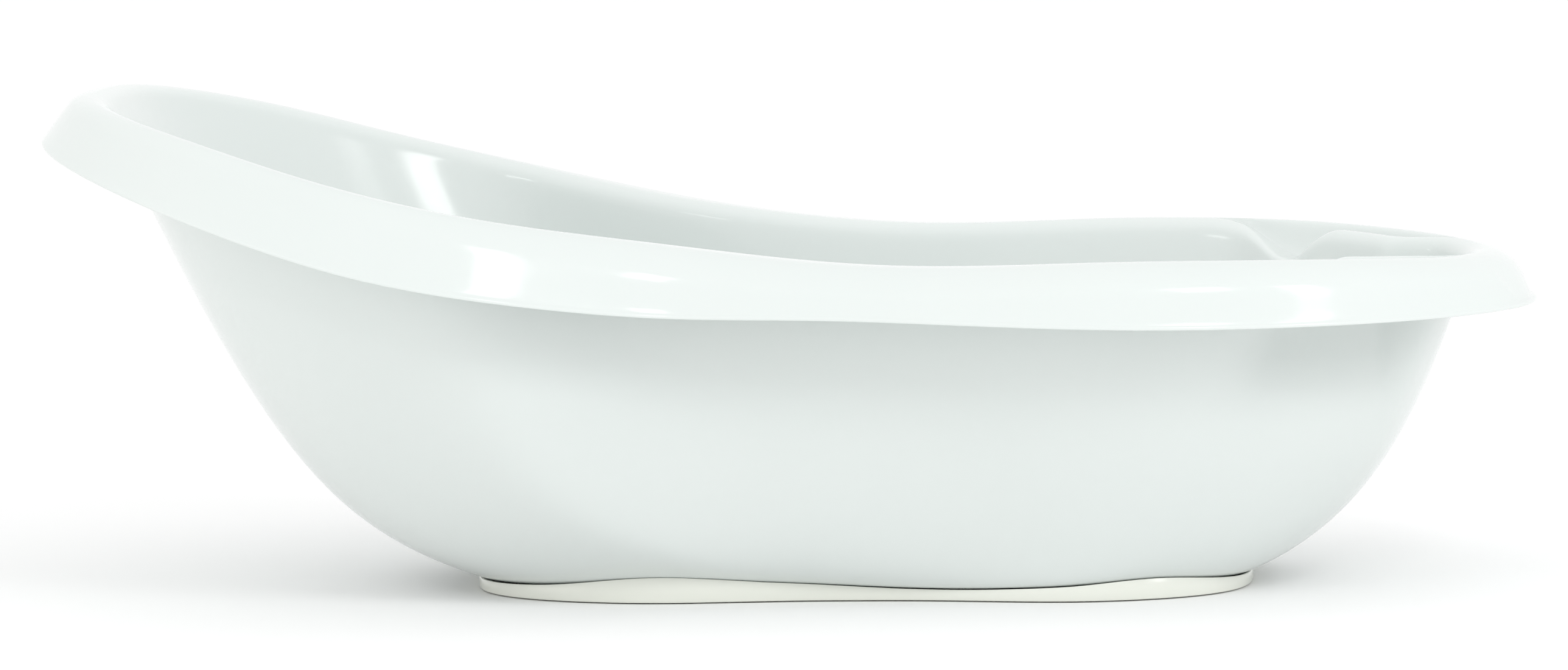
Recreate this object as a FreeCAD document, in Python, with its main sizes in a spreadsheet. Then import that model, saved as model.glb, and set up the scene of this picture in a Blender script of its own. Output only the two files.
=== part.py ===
"""Baby bathtub: a thin moulded tub on a separate foot ring, with a drain plug in its floor.

Frame: millimetres, +X towards the toe end, +Z up, origin on the ground under the middle of the tub.
"""
import FreeCAD, Part
import math
import os
import Sketcher
from FreeCAD import Placement, Rotation, Vector

DOC = FreeCAD.newDocument("baby_bathtub")
SHEET = DOC.addObject("Spreadsheet::Sheet", "Sizes")

SIZES = [
    # the tub as a whole
    ("tub_length", 900.0, "overall length over the skirt"),
    ("wall", 3.0, "thickness of the moulded wall"),
    # crown line of the rim in plan
    ("head_half", 245.0, "half width law of the rim at the head end"),
    ("waist_half", 179.0, "half width of the rim at the waist"),
    ("toe_half", 211.5, "half width law of the rim at the toe end"),
    ("waist_x", -13.5, "place of the waist along the tub"),
    ("shoulder_x", -248.0, "where the rim has reached its head width"),
    ("hip_x", 375.0, "where the rim has reached its toe width"),
    ("head_power", 2.95, "squareness of the head end in plan"),
    ("toe_power", 2.27, "squareness of the toe end in plan"),
    # heights of the crown of the rim above the ground
    ("head_height", 303.0, "crown at the head end"),
    ("shoulder_height", 282.9, "crown beside the shoulders"),
    ("back_height", 255.9, "crown beside the back"),
    ("seat_height", 226.3, "crown beside the seat"),
    ("waist_height", 205.2, "crown at the waist"),
    ("knee_height", 206.1, "crown beside the knees"),
    ("shin_height", 205.2, "crown beside the shins"),
    ("toe_height", 199.2, "crown at the toe end"),
    # the skirt that hangs from the rim
    ("head_reach", 25.3, "how far the skirt stands out of the crown at the head"),
    ("side_reach", 30.0, "the same along the sides"),
    ("toe_reach", 28.0, "the same at the toe"),
    ("head_drop", 27.2, "height of the rim and skirt at the head end"),
    ("shoulder_drop", 39.6, "the same beside the shoulders"),
    ("back_drop", 45.4, "the same beside the back"),
    ("seat_drop", 45.0, "the same beside the seat"),
    ("waist_drop", 30.3, "the same at the waist"),
    ("knee_drop", 37.9, "the same beside the knees"),
    ("shin_drop", 37.4, "the same beside the shins"),
    ("toe_drop", 31.0, "the same at the toe end"),
    ("head_crease", 4.0, "crown down to the crease of the skirt at the head end"),
    ("seat_crease", 15.8, "the same beside the seat"),
    ("knee_crease", 13.0, "the same beside the knees"),
    ("head_lean", 15.0, "how far the skirt leans outwards at the head end"),
    ("side_lean", 5.0, "the same along the sides"),
    ("bead", 1.2, "how far the bottom edge of the skirt stands proud"),
    ("spout_bead", 3.0, "the same at the pouring spout"),
    ("spout_half", 62.0, "half width of the pouring spout"),
    # the mouth of the bowl
    ("lip_inset", 24.0, "from the crown in to the mouth along the sides"),
    ("head_inset", 15.7, "the same at the head"),
    ("spout_inset", 13.4, "the same at the pouring spout"),
    ("lip_round", 12.0, "rounding between the deck and the inner wall"),
    ("dish_inset", 26.0, "how much further in the mouth stands at the soap dishes"),
    ("dish_depth", 14.0, "depth of a soap dish at its toe end"),
    ("notch_depth", 22.0, "depth of the notch that drains it into the bowl"),
    ("head_slope", 66.0, "slope of the inner wall at its top, at the head"),
    ("toe_slope", 72.3, "the same at the toe"),
    ("side_slope", 83.0, "the same along the sides"),
    ("head_base_slope", 18.5, "slope of the wall where it leaves the foot, at the head"),
    ("toe_base_slope", 21.7, "the same at the toe"),
    ("side_base_slope", 12.0, "the same along the sides"),
    # the floor of the bowl and the foot
    ("floor_clear", 6.5, "ground to the underside of the floor"),
    ("foot_head_x", -191.9, "head end of the foot ring"),
    ("foot_toe_x", 278.1, "toe end of the foot ring"),
    ("foot_head_half", 128.3, "half width law of the foot ring near the head"),
    ("foot_waist_half", 112.7, "half width of the foot ring at its waist"),
    ("foot_toe_half", 131.0, "half width law of the foot ring near the toe"),
    ("foot_power", 3.2, "squareness of the foot ring in plan"),
    ("foot_gap", 0.8, "ground to the underside of the foot ring"),
    ("ring_wall", 3.0, "thickness of the ring's wall and of its flange"),
    ("ring_flange", 22.0, "width of the ring's bottom flange"),
    # pads and screws under the ring
    ("pad_dia", 16.0, "diameter of a non-slip pad"),
    ("pad_stem_dia", 5.0, "diameter of a pad's stem"),
    ("pad_stem_top", 5.4, "ground to the top of a pad's stem"),
    ("screw_dia", 2.8, "diameter of a ring screw"),
    ("screw_head_dia", 6.4, "diameter of a screw's head"),
    ("screw_head_high", 1.4, "height of a screw's head"),
    ("screw_long", 6.4, "length of a ring screw over its head"),
    ("boss_dia", 8.0, "diameter of a screw boss under the floor"),
    # the drain
    ("drain_x", 195.0, "place of the drain along the tub"),
    ("bore_dia", 24.0, "bore of the drain seat"),
    ("seat_wall", 3.0, "wall of the seat's tube"),
    ("seat_flange_dia", 46.0, "diameter of the seat's flange"),
    ("seat_flange_high", 2.0, "thickness of the seat's flange"),
    ("seat_bottom", 1.2, "ground to the bottom of the seat's tube"),
    ("gasket_dia", 42.0, "outer diameter of the gasket"),
    ("gasket_high", 1.2, "thickness of the gasket"),
    ("nut_flats", 40.0, "lock nut over its flats"),
    ("nut_high", 3.6, "thickness of the lock nut"),
    ("fit_gap", 0.3, "radial clearance of loose drain fits"),
    ("plug_gap", 0.4, "radial clearance of the plug in its bore"),
    ("seal_gap", 0.05, "radial clearance of the plug's seal in the bore"),
    ("plug_flange_dia", 34.0, "diameter of the plug's flange"),
    ("plug_flange_high", 2.5, "thickness of the plug's flange"),
    ("plug_long", 9.0, "length of the plug below its flange"),
    ("seal_dia", 2.6, "section of the plug's seal"),
    ("seal_up", 4.0, "bottom of the plug to the middle of its seal"),
    ("lug_thick", 3.0, "thickness of the lug on the plug"),
    ("lug_long", 7.0, "length of the lug"),
    ("pull_dia", 2.6, "section of the pull ring"),
    ("pull_radius", 10.0, "radius of the pull ring to the middle of its section"),
    ("pull_gap", 0.5, "clearance of the pull ring in the lug"),
]

PADS = 6
SCREWS = 6
HEX = 6


def fill_sheet():
    """Write every size into the sheet as a plain number with its alias and meaning."""
    for row, (alias, value, meaning) in enumerate(SIZES, start=1):
        SHEET.set(f"A{row}", alias)
        SHEET.set(f"B{row}", str(value))
        SHEET.set(f"C{row}", meaning)
        SHEET.setAlias(f"B{row}", alias)
    DOC.recompute()


def size(alias):
    """The number that the sheet holds for an alias."""
    return float(getattr(SHEET, alias))


fill_sheet()


# ---- curves that the tub is drawn with -------------------------------------------------------

def ease(t):
    """A step from 0 to 1 with level ends."""
    t = min(1.0, max(0.0, t))
    return t * t * t * (t * (6.0 * t - 15.0) + 10.0)


def chord(a, b):
    """Slope of the line through two stations."""
    return (b[1] - a[1]) / (b[0] - a[0])


def station_slope(stations, i):
    """Slope of the smooth curve at station i."""
    last = len(stations) - 1
    if i == 0:
        return chord(stations[0], stations[1])
    if i == last:
        return chord(stations[last - 1], stations[last])
    before = stations[i][0] - stations[i - 1][0]
    after = stations[i + 1][0] - stations[i][0]
    left = chord(stations[i - 1], stations[i])
    right = chord(stations[i], stations[i + 1])
    return (left * after + right * before) / (before + after)


def through(stations, x):
    """Height at x of the smooth curve through the stations, straight beyond its ends."""
    first, last = stations[0], stations[-1]
    if x <= first[0]:
        return first[1] + station_slope(stations, 0) * (x - first[0])
    if x >= last[0]:
        return last[1] + station_slope(stations, len(stations) - 1) * (x - last[0])
    i = next(k for k in range(len(stations) - 1) if x <= stations[k + 1][0])
    step = stations[i + 1][0] - stations[i][0]
    t = (x - stations[i][0]) / step
    rise_a = station_slope(stations, i) * step
    rise_b = station_slope(stations, i + 1) * step
    return (stations[i][1] * (1 + 2 * t) * (1 - t) ** 2 + rise_a * t * (1 - t) ** 2
            + stations[i + 1][1] * t * t * (3 - 2 * t) + rise_b * t * t * (t - 1))


def waisted(x, head, waist, toe, places):
    """Half width law along the tub: head width, waist, toe width."""
    shoulder, middle, hip = places
    if x < middle:
        return waist + (head - waist) * ease((middle - x) / (middle - shoulder))
    return waist + (toe - waist) * ease((x - middle) / (hip - middle))


def oval(u, ends, powers, half_width):
    """Plan point at angle u of a waisted oval between two ends."""
    c, s = math.cos(u), math.sin(u)
    n = powers[1] if c > 0 else powers[0]
    rho = (abs(c) ** n + abs(s) ** n) ** (-1.0 / n)
    x = (ends[0] + ends[1]) / 2 + (ends[1] - ends[0]) / 2 * rho * c
    return x, rho * s * half_width(x)


HEAD_X = -size("tub_length") / 2 + size("head_reach") + size("bead")
TOE_X = size("tub_length") / 2 - size("toe_reach") - size("spout_bead")
FOOT_X = (size("foot_head_x"), size("foot_toe_x"))
FOOT_MIDDLE = sum(FOOT_X) / 2
FOOT_ENDS = (70.0, 60.0)
FOOT_PLACES = (FOOT_X[0] + FOOT_ENDS[0], FOOT_MIDDLE, FOOT_X[1] - FOOT_ENDS[1])
RIM_PLACES = ("head", "shoulder", "back", "seat", "waist", "knee", "shin", "toe")
RIM_SHARES = (-0.383, -0.278, -0.122, 0.056, 0.244, 0.344)
RIM_STATIONS = [HEAD_X] + [share * size("tub_length") for share in RIM_SHARES] + [TOE_X]


def crown(u):
    """Plan point of the highest line of the rim."""
    def law(x):
        places = (size("shoulder_x"), size("waist_x"), size("hip_x"))
        return waisted(x, size("head_half"), size("waist_half"), size("toe_half"), places)
    return oval(u, (HEAD_X, TOE_X), (size("head_power"), size("toe_power")), law)


def foot(u):
    """Plan point of the outside of the foot ring."""
    def law(x):
        halves = (size("foot_head_half"), size("foot_waist_half"), size("foot_toe_half"))
        return waisted(x, *halves, FOOT_PLACES)
    return oval(u, FOOT_X, (size("foot_power"),) * 2, law)


def outward(curve, u):
    """Unit plan normal of a closed curve, pointing away from the tub."""
    step = 1e-4
    a, b = curve(u - step), curve(u + step)
    dx, dy = b[0] - a[0], b[1] - a[1]
    length = math.hypot(dx, dy)
    return dy / length, -dx / length


def inset(curve, u, distance):
    """Plan point a distance inside a closed curve."""
    x, y = curve(u)
    nx, ny = outward(curve, u)
    return x - nx * distance, y - ny * distance


def rim_law(ending, places):
    """Smooth curve along the rim through the sizes that share an ending."""
    return [(RIM_STATIONS[RIM_PLACES.index(place)], size(f"{place}_{ending}")) for place in places]


CROWN_HEIGHTS = rim_law("height", RIM_PLACES)
SKIRT_DROPS = rim_law("drop", RIM_PLACES)
CREASE_DROPS = rim_law("crease", ("head", "seat", "knee"))
FOOT_STATIONS = [(FOOT_X[0], 8.0), (-145.0, 10.5), (-80.0, 16.6), (0.0, 12.3), (95.0, 7.8),
                 (165.0, 9.9), (224.0, 13.7), (FOOT_X[1], 8.4)]


# ---- the skin of the tub: its inner, upper and outer visible side ----------------------------

NOTCH_TURN = 42.3
NOTCH_HEAD_SPREAD = 12.0
NOTCH_TOE_SPREAD = 6.5
NOTCH_SHARPNESS = 2.0
DISH_END_TURN = 26.0
DISH_END_SPREAD = 7.0
DISH_START_SPREAD = 11.0
NOTCH_ROUND_SHARE = 0.45
FLOOR_INSET = 24.0
BASE_INSET = 0.4 * size("wall")
BASE_LIFT = 0.9 * size("wall")
LIP_SHARE = 0.9
PUSH_FROM, PUSH_OVER = 0.5, 0.42
LOWER_FROM, LOWER_OVER = 0.7, 0.3
DISH_INNER_FROM, DISH_INNER_OVER = 0.02, 0.34
DISH_OUTER_FROM, DISH_OUTER_OVER = 0.66, 0.3
END_REACH = 1.4
SPOUT_EDGE = 0.3
SPOUT_FACE = 3.5
SPOUT_OVERHANG = 0.5
SPOUT_BEND = 0.98
BEAD_HEIGHTS = (3.0, 2.2, 0.6)
BEAD_FOOT = 0.4


def turn(u):
    """Degrees between the toe direction and the angle u, the same on both sides."""
    return abs((math.degrees(u) + 180.0) % 360.0 - 180.0)


def end_shares(u):
    """How much of the head, of the toe and of the sides there is at angle u."""
    c = math.cos(u)
    head = ease(-c * END_REACH)
    toe = ease(c * END_REACH)
    return head, toe, 1.0 - head - toe


def by_end(u, head, toe, side):
    """Blend of a size's head, toe and side values at angle u."""
    shares = end_shares(u)
    return shares[0] * head + shares[1] * toe + shares[2] * side


def spout_share(u):
    """1 inside the pouring spout, 0 outside it."""
    x, y = crown(u)
    if x < 0:
        return 0.0
    return ease((size("spout_half") - abs(y)) / (SPOUT_EDGE * size("spout_half")) + 0.5)


def notch(u):
    """1 in the drain notch of a soap dish: an easy fall from the head side, a sharp rise to the ridge."""
    away = turn(u) - NOTCH_TURN
    if away > 0:
        return ease(1.0 - away / NOTCH_HEAD_SPREAD)
    return max(0.0, 1.0 + away / NOTCH_TOE_SPREAD) ** NOTCH_SHARPNESS


def along_dish(u):
    """1 along the length of a soap dish, 0 beyond its ends."""
    start = ease((NOTCH_TURN + DISH_START_SPREAD - turn(u)) / DISH_START_SPREAD)
    return start * ease((turn(u) - DISH_END_TURN + DISH_END_SPREAD) / DISH_END_SPREAD)


def dish_drop(u):
    """How far the floor of a soap dish lies under the rim; it falls towards the notch."""
    toward_notch = min(1.0, max(0.0, (turn(u) - DISH_END_TURN) / (NOTCH_TURN - DISH_END_TURN)))
    deep = size("dish_depth") + (size("notch_depth") - size("dish_depth")) * toward_notch
    return deep * max(along_dish(u), notch(u))


def mouth_inset(u):
    """Crown to mouth, without the dishes."""
    return by_end(u, size("head_inset"), size("spout_inset"), size("lip_inset"))


def dent(u):
    """How much further in the mouth stands at a soap dish."""
    return size("dish_inset") * along_dish(u)


WALL_PULL = (0.83, 0.75, 0.8)


def wall_profile(u, reach, rise):
    """Bezier handles (along, up) of the inner wall, from its base to the mouth."""
    base = math.radians(by_end(u, size("head_base_slope"), size("toe_base_slope"), size("side_base_slope")))
    top = math.radians(by_end(u, size("head_slope"), size("toe_slope"), size("side_slope")))
    first = (reach * math.sin(top) - rise * math.cos(top)) / math.sin(top - base)
    last = (rise - first * math.sin(base)) / math.sin(top)
    pull = by_end(u, *WALL_PULL)
    return ((pull * first * math.cos(base), pull * first * math.sin(base)),
            (reach - pull * last * math.cos(top), rise - pull * last * math.sin(top)))


def bezier(a, b, c, d, t):
    """Cubic Bezier value."""
    r = 1.0 - t
    return a * r ** 3 + 3 * b * r * r * t + 3 * c * r * t * t + d * t ** 3


def wall_rows(u, rows):
    """Inner wall from its base on the foot up to the mouth."""
    base_x, base_y = inset(foot, u, BASE_INSET)
    base_z = through(FOOT_STATIONS, foot(u)[0]) + BASE_LIFT
    top_x, top_y = inset(crown, u, mouth_inset(u))
    nx, ny = outward(crown, u)
    top_z = crown_z(u) - lip_round(u)
    reach = math.hypot(top_x - base_x, top_y - base_y)
    rise = top_z - base_z
    first, last = wall_profile(u, reach, rise)
    points = []
    for i in range(rows + 1):
        t = i / rows
        along = bezier(0.0, first[0], last[0], reach, t) / reach
        up = bezier(0.0, first[1], last[1], rise, t)
        pushed = dent(u) * ease((up / rise - PUSH_FROM) / PUSH_OVER)
        lowered = size("notch_depth") * notch(u) * ease((up / rise - LOWER_FROM) / LOWER_OVER)
        points.append((base_x + (top_x - base_x) * along - nx * pushed,
                       base_y + (top_y - base_y) * along - ny * pushed,
                       base_z + up - lowered))
    return points


def crown_z(u):
    """Height of the crown of the rim at angle u."""
    return through(CROWN_HEIGHTS, crown(u)[0])


def floor_rows(u, rows):
    """Floor from the edge of its flat middle to the base of the wall."""
    flat = size("floor_clear") + size("wall")
    x, y = foot(u)
    half_long = (FOOT_X[1] - FOOT_X[0]) / 2
    shrink_x = 1.0 - FLOOR_INSET / half_long
    shrink_y = 1.0 - FLOOR_INSET / size("foot_waist_half")
    start = (FOOT_MIDDLE + (x - FOOT_MIDDLE) * shrink_x, y * shrink_y)
    end_x, end_y = inset(foot, u, BASE_INSET)
    end_z = through(FOOT_STATIONS, x) + BASE_LIFT
    points = []
    for i in range(rows):
        t = i / rows
        points.append((start[0] + (end_x - start[0]) * t, start[1] + (end_y - start[1]) * t,
                       flat + (end_z - flat) * t * t))
    return points


def lip_round(u):
    """Radius of the lip above the mouth, smaller in the notches."""
    return size("lip_round") * (1.0 - (1.0 - NOTCH_ROUND_SHARE) * notch(u))


def deck_rows(u, rows, lip_steps):
    """Rounded lip above the mouth, then the deck out to the crown, with its soap dish."""
    nx, ny = outward(crown, u)
    kx, ky = crown(u)
    kz = crown_z(u)
    rounding = lip_round(u)
    round_in = min(rounding, LIP_SHARE * mouth_inset(u))
    mouth = mouth_inset(u) + dent(u)
    lowered = size("notch_depth") * notch(u)
    points = []
    for i in range(1, lip_steps + 1):
        angle = math.pi / 2 * i / lip_steps
        back = mouth - round_in * (1.0 - math.cos(angle))
        points.append((kx - nx * back, ky - ny * back,
                       kz - rounding * (1.0 - math.sin(angle)) - lowered))
    for i in range(1, rows + 1):
        t = i / rows
        back = (mouth - round_in) * (1.0 - t)
        inner_side = ease((t - DISH_INNER_FROM) / DISH_INNER_OVER)
        outer_side = 1.0 - ease((t - DISH_OUTER_FROM) / DISH_OUTER_OVER)
        depth = (dish_drop(u) * inner_side + lowered * (1.0 - inner_side)) * outer_side
        points.append((kx - nx * back, ky - ny * back, kz - depth))
    return points


def skirt_rows(u, round_steps, face_steps):
    """From the crown over the outer rounding to the crease, and down the skirt to its bead."""
    nx, ny = outward(crown, u)
    kx, ky = crown(u)
    kz = crown_z(u)
    reach = by_end(u, size("head_reach"), size("toe_reach"), size("side_reach"))
    drop = through(SKIRT_DROPS, kx)
    spout = spout_share(u)
    lean = by_end(u, size("head_lean"), size("side_lean"), size("side_lean"))
    crease_out = (reach - lean) * (1.0 - spout) + (reach - SPOUT_OVERHANG) * spout
    crease_down = through(CREASE_DROPS, kx) * (1.0 - spout) + (drop - SPOUT_FACE) * spout
    points = []
    for i in range(1, round_steps + 1):
        t = i / round_steps
        arc = (1.0 - math.sqrt(1.0 - SPOUT_BEND * t * t)) / (1.0 - math.sqrt(1.0 - SPOUT_BEND))
        fall = t * t * (1.0 - spout) + arc * spout
        points.append((crease_out * t, crease_down * fall))
    end = drop - BEAD_HEIGHTS[0]
    for i in range(1, face_steps + 1):
        t = i / face_steps
        points.append((crease_out + (reach - crease_out) * t, crease_down + (end - crease_down) * t))
    proud = size("bead") * (1.0 - spout) + size("spout_bead") * spout
    points += [(reach + proud, drop - height) for height in BEAD_HEIGHTS[1:]]
    points.append((reach + BEAD_FOOT * proud, drop))
    return [(kx + nx * out, ky + ny * out, kz - down) for out, down in points]


# ---- the moulded shell -----------------------------------------------------------------------

TURN_STEPS = ((19.5, 4.0), (34.5, 2.0), (51.5, 1.0), (58.5, 2.0), (180.0, 4.0))


def turns():
    """Angles around the tub, closer together at the soap dishes and closest at their notches."""
    half = [0.0]
    for end, step in TURN_STEPS:
        while half[-1] + step < end + 1e-6:
            half.append(half[-1] + step)
    half = half[1:]
    return [math.radians(d) for d in [-180.0] + [-d for d in reversed(half)] + [0.0] + half]


def skin_rows(u):
    """One section of the visible skin, from the flat of the floor to the bottom of the skirt."""
    return floor_rows(u, 3) + wall_rows(u, 9) + deck_rows(u, 8, 3) + skirt_rows(u, 5, 3)


HIDDEN_ROWS_LEFT_OUT = 3


def thickened(grid):
    """The hidden side of the skin: each point moved a wall's thickness against the normal."""
    count, rows = len(grid), len(grid[0])
    back = []
    for i in range(count):
        column = []
        for j in range(rows):
            along = Vector(*grid[(i + 1) % count][j]) - Vector(*grid[i - 1][j])
            across = Vector(*grid[i][min(j + 1, rows - 1)]) - Vector(*grid[i][max(j - 1, 0)])
            normal = across.cross(along)
            normal.normalize()
            column.append(Vector(*grid[i][j]) - normal * size("wall"))
        back.append(column)
    return back


def closed_sheet(columns):
    """Cubic surface, closed around the tub, with the columns' points as its poles."""
    count, rows = len(columns), len(columns[0])
    knots = [float(i) for i in range(count + 1)]
    row_knots = [float(i) for i in range(rows - 2)]
    ends = [4] + [1] * (len(row_knots) - 2) + [4]
    surface = Part.BSplineSurface()
    surface.buildFromPolesMultsKnots(columns, [1] * (count + 1), ends, knots, row_knots,
                                     True, False, 3, 3)
    return surface.toShape()


def largest(shape):
    """The largest solid of a shape."""
    return max(shape.Solids, key=lambda solid: solid.Volume)


def level_cap(face, height):
    """Flat face inside the edge of the sheet that lies level at a height."""
    edge = next(e for e in face.Edges
                if abs(e.BoundBox.ZMin - height) < 1e-3 and abs(e.BoundBox.ZMax - height) < 1e-3)
    return Part.Face(Part.Wire([edge]))


def shell_solid():
    """Closed solid of the shell before its drain hole and bosses."""
    grid = [skin_rows(u) for u in turns()]
    hidden = thickened(grid)
    floor = size("floor_clear")
    columns = []
    for front, behind in zip(grid, hidden):
        poles = [Vector(*point) for point in front]
        under = list(reversed(behind[:-HIDDEN_ROWS_LEFT_OUT]))
        under[-1] = Vector(front[0][0], front[0][1], floor)
        columns.append(poles + under)
    sheet = closed_sheet(columns)
    caps = [level_cap(sheet, floor + size("wall")), level_cap(sheet, floor)]
    shell = Part.makeShell([sheet] + caps)
    shell.sewShape()
    solid = Part.Solid(shell)
    if solid.Volume < 0:
        solid.reverse()
    return solid


# ---- placing what goes under the tub ---------------------------------------------------------

def around_foot(count, start_degrees):
    """Angles spread around the foot ring."""
    return [math.radians(start_degrees + 360.0 * i / count) for i in range(count)]


def under_floor(u, distance):
    """Height of the underside of the floor, a distance inside the foot ring."""
    edge = through(FOOT_STATIONS, foot(u)[0]) + BASE_LIFT - size("wall")
    share = 1.0 - distance / FLOOR_INSET
    return size("floor_clear") + (edge - size("floor_clear")) * share * share


def upright(radius, low, high, x=0.0, y=0.0):
    """Cylinder along Z between two heights."""
    return Part.makeCylinder(radius, high - low, Vector(x, y, low), Vector(0, 0, 1))


PAD_INSET = (size("ring_flange") + size("ring_wall")) / 2
HEAD_SINK = 0.2
BLIND_END = 0.3
BOSS_BITE = 0.5 * size("wall")
BEYOND = 1.0
PAD_TURNS = around_foot(PADS, 30.0)
SCREW_TURNS = around_foot(SCREWS, 0.0)
PAD_PLACES = [inset(foot, u, PAD_INSET) for u in PAD_TURNS]
SCREW_PLACES = [inset(foot, u, PAD_INSET) for u in SCREW_TURNS]
FLANGE_TOP = size("foot_gap") + size("ring_wall")
HEAD_TOP = size("foot_gap") + size("screw_head_high") + HEAD_SINK
FLOOR_TOP = size("floor_clear") + size("wall")
SCREW_TOP = HEAD_TOP + size("screw_long") - size("screw_head_high")


def with_bosses(shell):
    """The shell with a blind screw boss over each hole of the ring's flange."""
    for u, (x, y) in zip(SCREW_TURNS, SCREW_PLACES):
        top = under_floor(u, PAD_INSET) + BOSS_BITE
        shell = shell.fuse(upright(size("boss_dia") / 2, FLANGE_TOP, top, x, y))
    for x, y in SCREW_PLACES:
        shell = shell.cut(upright(size("screw_dia") / 2, FLANGE_TOP - BEYOND, SCREW_TOP + BLIND_END, x, y))
    return shell


def tub_shell_shape():
    hole = size("bore_dia") / 2 + size("seat_wall") + size("fit_gap")
    drain = upright(hole, 0.0, FLOOR_TOP + size("wall"), size("drain_x"), 0.0)
    return largest(with_bosses(largest(shell_solid().cut(drain))))


def outline_prism(distance, low, high, steps=72):
    """Upright prism whose outline runs a distance inside the foot ring."""
    points = [inset(foot, 2 * math.pi * i / steps, distance) for i in range(steps)]
    curve = Part.BSplineCurve()
    curve.interpolate([Vector(x, y, low) for x, y in points], PeriodicFlag=True)
    face = Part.Face(Part.Wire([curve.toShape()]))
    return face.extrude(Vector(0, 0, high - low))


def foot_ring_shape(shell):
    """Wall that meets the bowl, with an inward flange along its bottom."""
    gap, wall, flange = size("foot_gap"), size("ring_wall"), size("ring_flange")
    top = max(z for _, z in FOOT_STATIONS) + size("wall")
    low, high = gap - BEYOND, FLANGE_TOP + BEYOND
    ring = outline_prism(0.0, gap, top).cut(outline_prism(wall, FLANGE_TOP, top + BEYOND))
    ring = ring.cut(outline_prism(flange, low, high))
    for x, y in SCREW_PLACES:
        ring = ring.cut(upright(size("screw_dia") / 2 + size("fit_gap"), low, high, x, y))
        ring = ring.cut(upright(size("screw_head_dia") / 2 + size("fit_gap"), low, HEAD_TOP, x, y))
    for x, y in PAD_PLACES:
        ring = ring.cut(upright(size("pad_stem_dia") / 2, low, high, x, y))
    trimmed = ring.cut(shell)
    return min(trimmed.Solids, key=lambda solid: solid.BoundBox.ZMin)


# ---- the document's objects ------------------------------------------------------------------

def plain(label, shape):
    """A node whose shape is worked out here from the sheet's sizes."""
    node = DOC.addObject("Part::Feature", label)
    node.Label = label
    node.Shape = shape
    return node


def origin_plane(body, role):
    return next(f for f in body.Origin.OriginFeatures if f.Role == role)


def bind(sketch, constraint, expression):
    """Add a dimension and tie it to the sheet."""
    index = sketch.addConstraint(constraint)
    sketch.setExpression(f"Constraints[{index}]", expression)


def value_of(expression):
    """Number that an expression of the sheet's sizes gives now."""
    return float(SHEET.evalExpression(expression))


def sized(expression):
    """The expression with each alias named as the sheet's own."""
    for alias in sorted((row[0] for row in SIZES), key=len, reverse=True):
        expression = expression.replace(alias.upper(), f"Sizes.{alias}")
    return expression


def profile(body, name, plane, points):
    """Closed sketch of straight lines; each corner is a pair of expressions of the sizes."""
    sketch = body.newObject("Sketcher::SketchObject", name)
    sketch.AttachmentSupport = [(origin_plane(body, plane), "")]
    sketch.MapMode = "FlatFace"
    points = [(sized(a), sized(b)) for a, b in points]
    spots = [Vector(value_of(a), value_of(b), 0) for a, b in points]
    count = len(points)
    for i in range(count):
        sketch.addGeometry(Part.LineSegment(spots[i], spots[(i + 1) % count]), False)
    for i in range(count):
        sketch.addConstraint(Sketcher.Constraint("Coincident", i, 2, (i + 1) % count, 1))
    for i, (a, b) in enumerate(points):
        across, up = ("DistanceX", -2, a, spots[i].x), ("DistanceY", -1, b, spots[i].y)
        for kind, axis, expression, spot in (across, up):
            if abs(spot) < 1e-9:
                sketch.addConstraint(Sketcher.Constraint("PointOnObject", i, 1, axis))
            else:
                bind(sketch, Sketcher.Constraint(kind, -1, 1, i, 1, spot), expression)
    return sketch


def turned(label, points):
    """A body turned about its own Z axis from a profile of (radius, height) corners."""
    body = DOC.addObject("PartDesign::Body", label)
    body.Label = label
    sketch = profile(body, f"{label}_profile", "XZ_Plane", points)
    spin = body.newObject("PartDesign::Revolution", f"{label}_turn")
    spin.Profile = sketch
    spin.ReferenceAxis = (sketch, ["V_Axis"])
    spin.Angle = 360.0
    DOC.recompute()
    return body


def place(body, **where):
    """Tie a body's place along each axis to the sheet."""
    for axis, expression in where.items():
        body.setExpression(f".Placement.Base.{axis}", sized(expression))


def drain_seat():
    """Flanged tube pushed through the floor."""
    bore, tube = "BORE_DIA / 2", "BORE_DIA / 2 + SEAT_WALL"
    long = "FLOOR_CLEAR + WALL - SEAT_BOTTOM"
    body = turned("drain_seat", [
        (bore, "0"), (tube, "0"), (tube, long), ("SEAT_FLANGE_DIA / 2", long),
        ("SEAT_FLANGE_DIA / 2", f"{long} + 0.5 * SEAT_FLANGE_HIGH"),
        ("SEAT_FLANGE_DIA / 2 - SEAT_FLANGE_HIGH", f"{long} + SEAT_FLANGE_HIGH"),
        (bore, f"{long} + SEAT_FLANGE_HIGH")])
    place(body, x="DRAIN_X", z="SEAT_BOTTOM")
    return body


def seat_gasket():
    """Flat rubber ring between the floor and the lock nut."""
    hole = "BORE_DIA / 2 + SEAT_WALL + FIT_GAP"
    body = turned("seat_gasket", [
        (hole, "0"), ("GASKET_DIA / 2", "0"), ("GASKET_DIA / 2", "GASKET_HIGH"), (hole, "GASKET_HIGH")])
    place(body, x="DRAIN_X", z="FLOOR_CLEAR - GASKET_HIGH")
    return body


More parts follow.
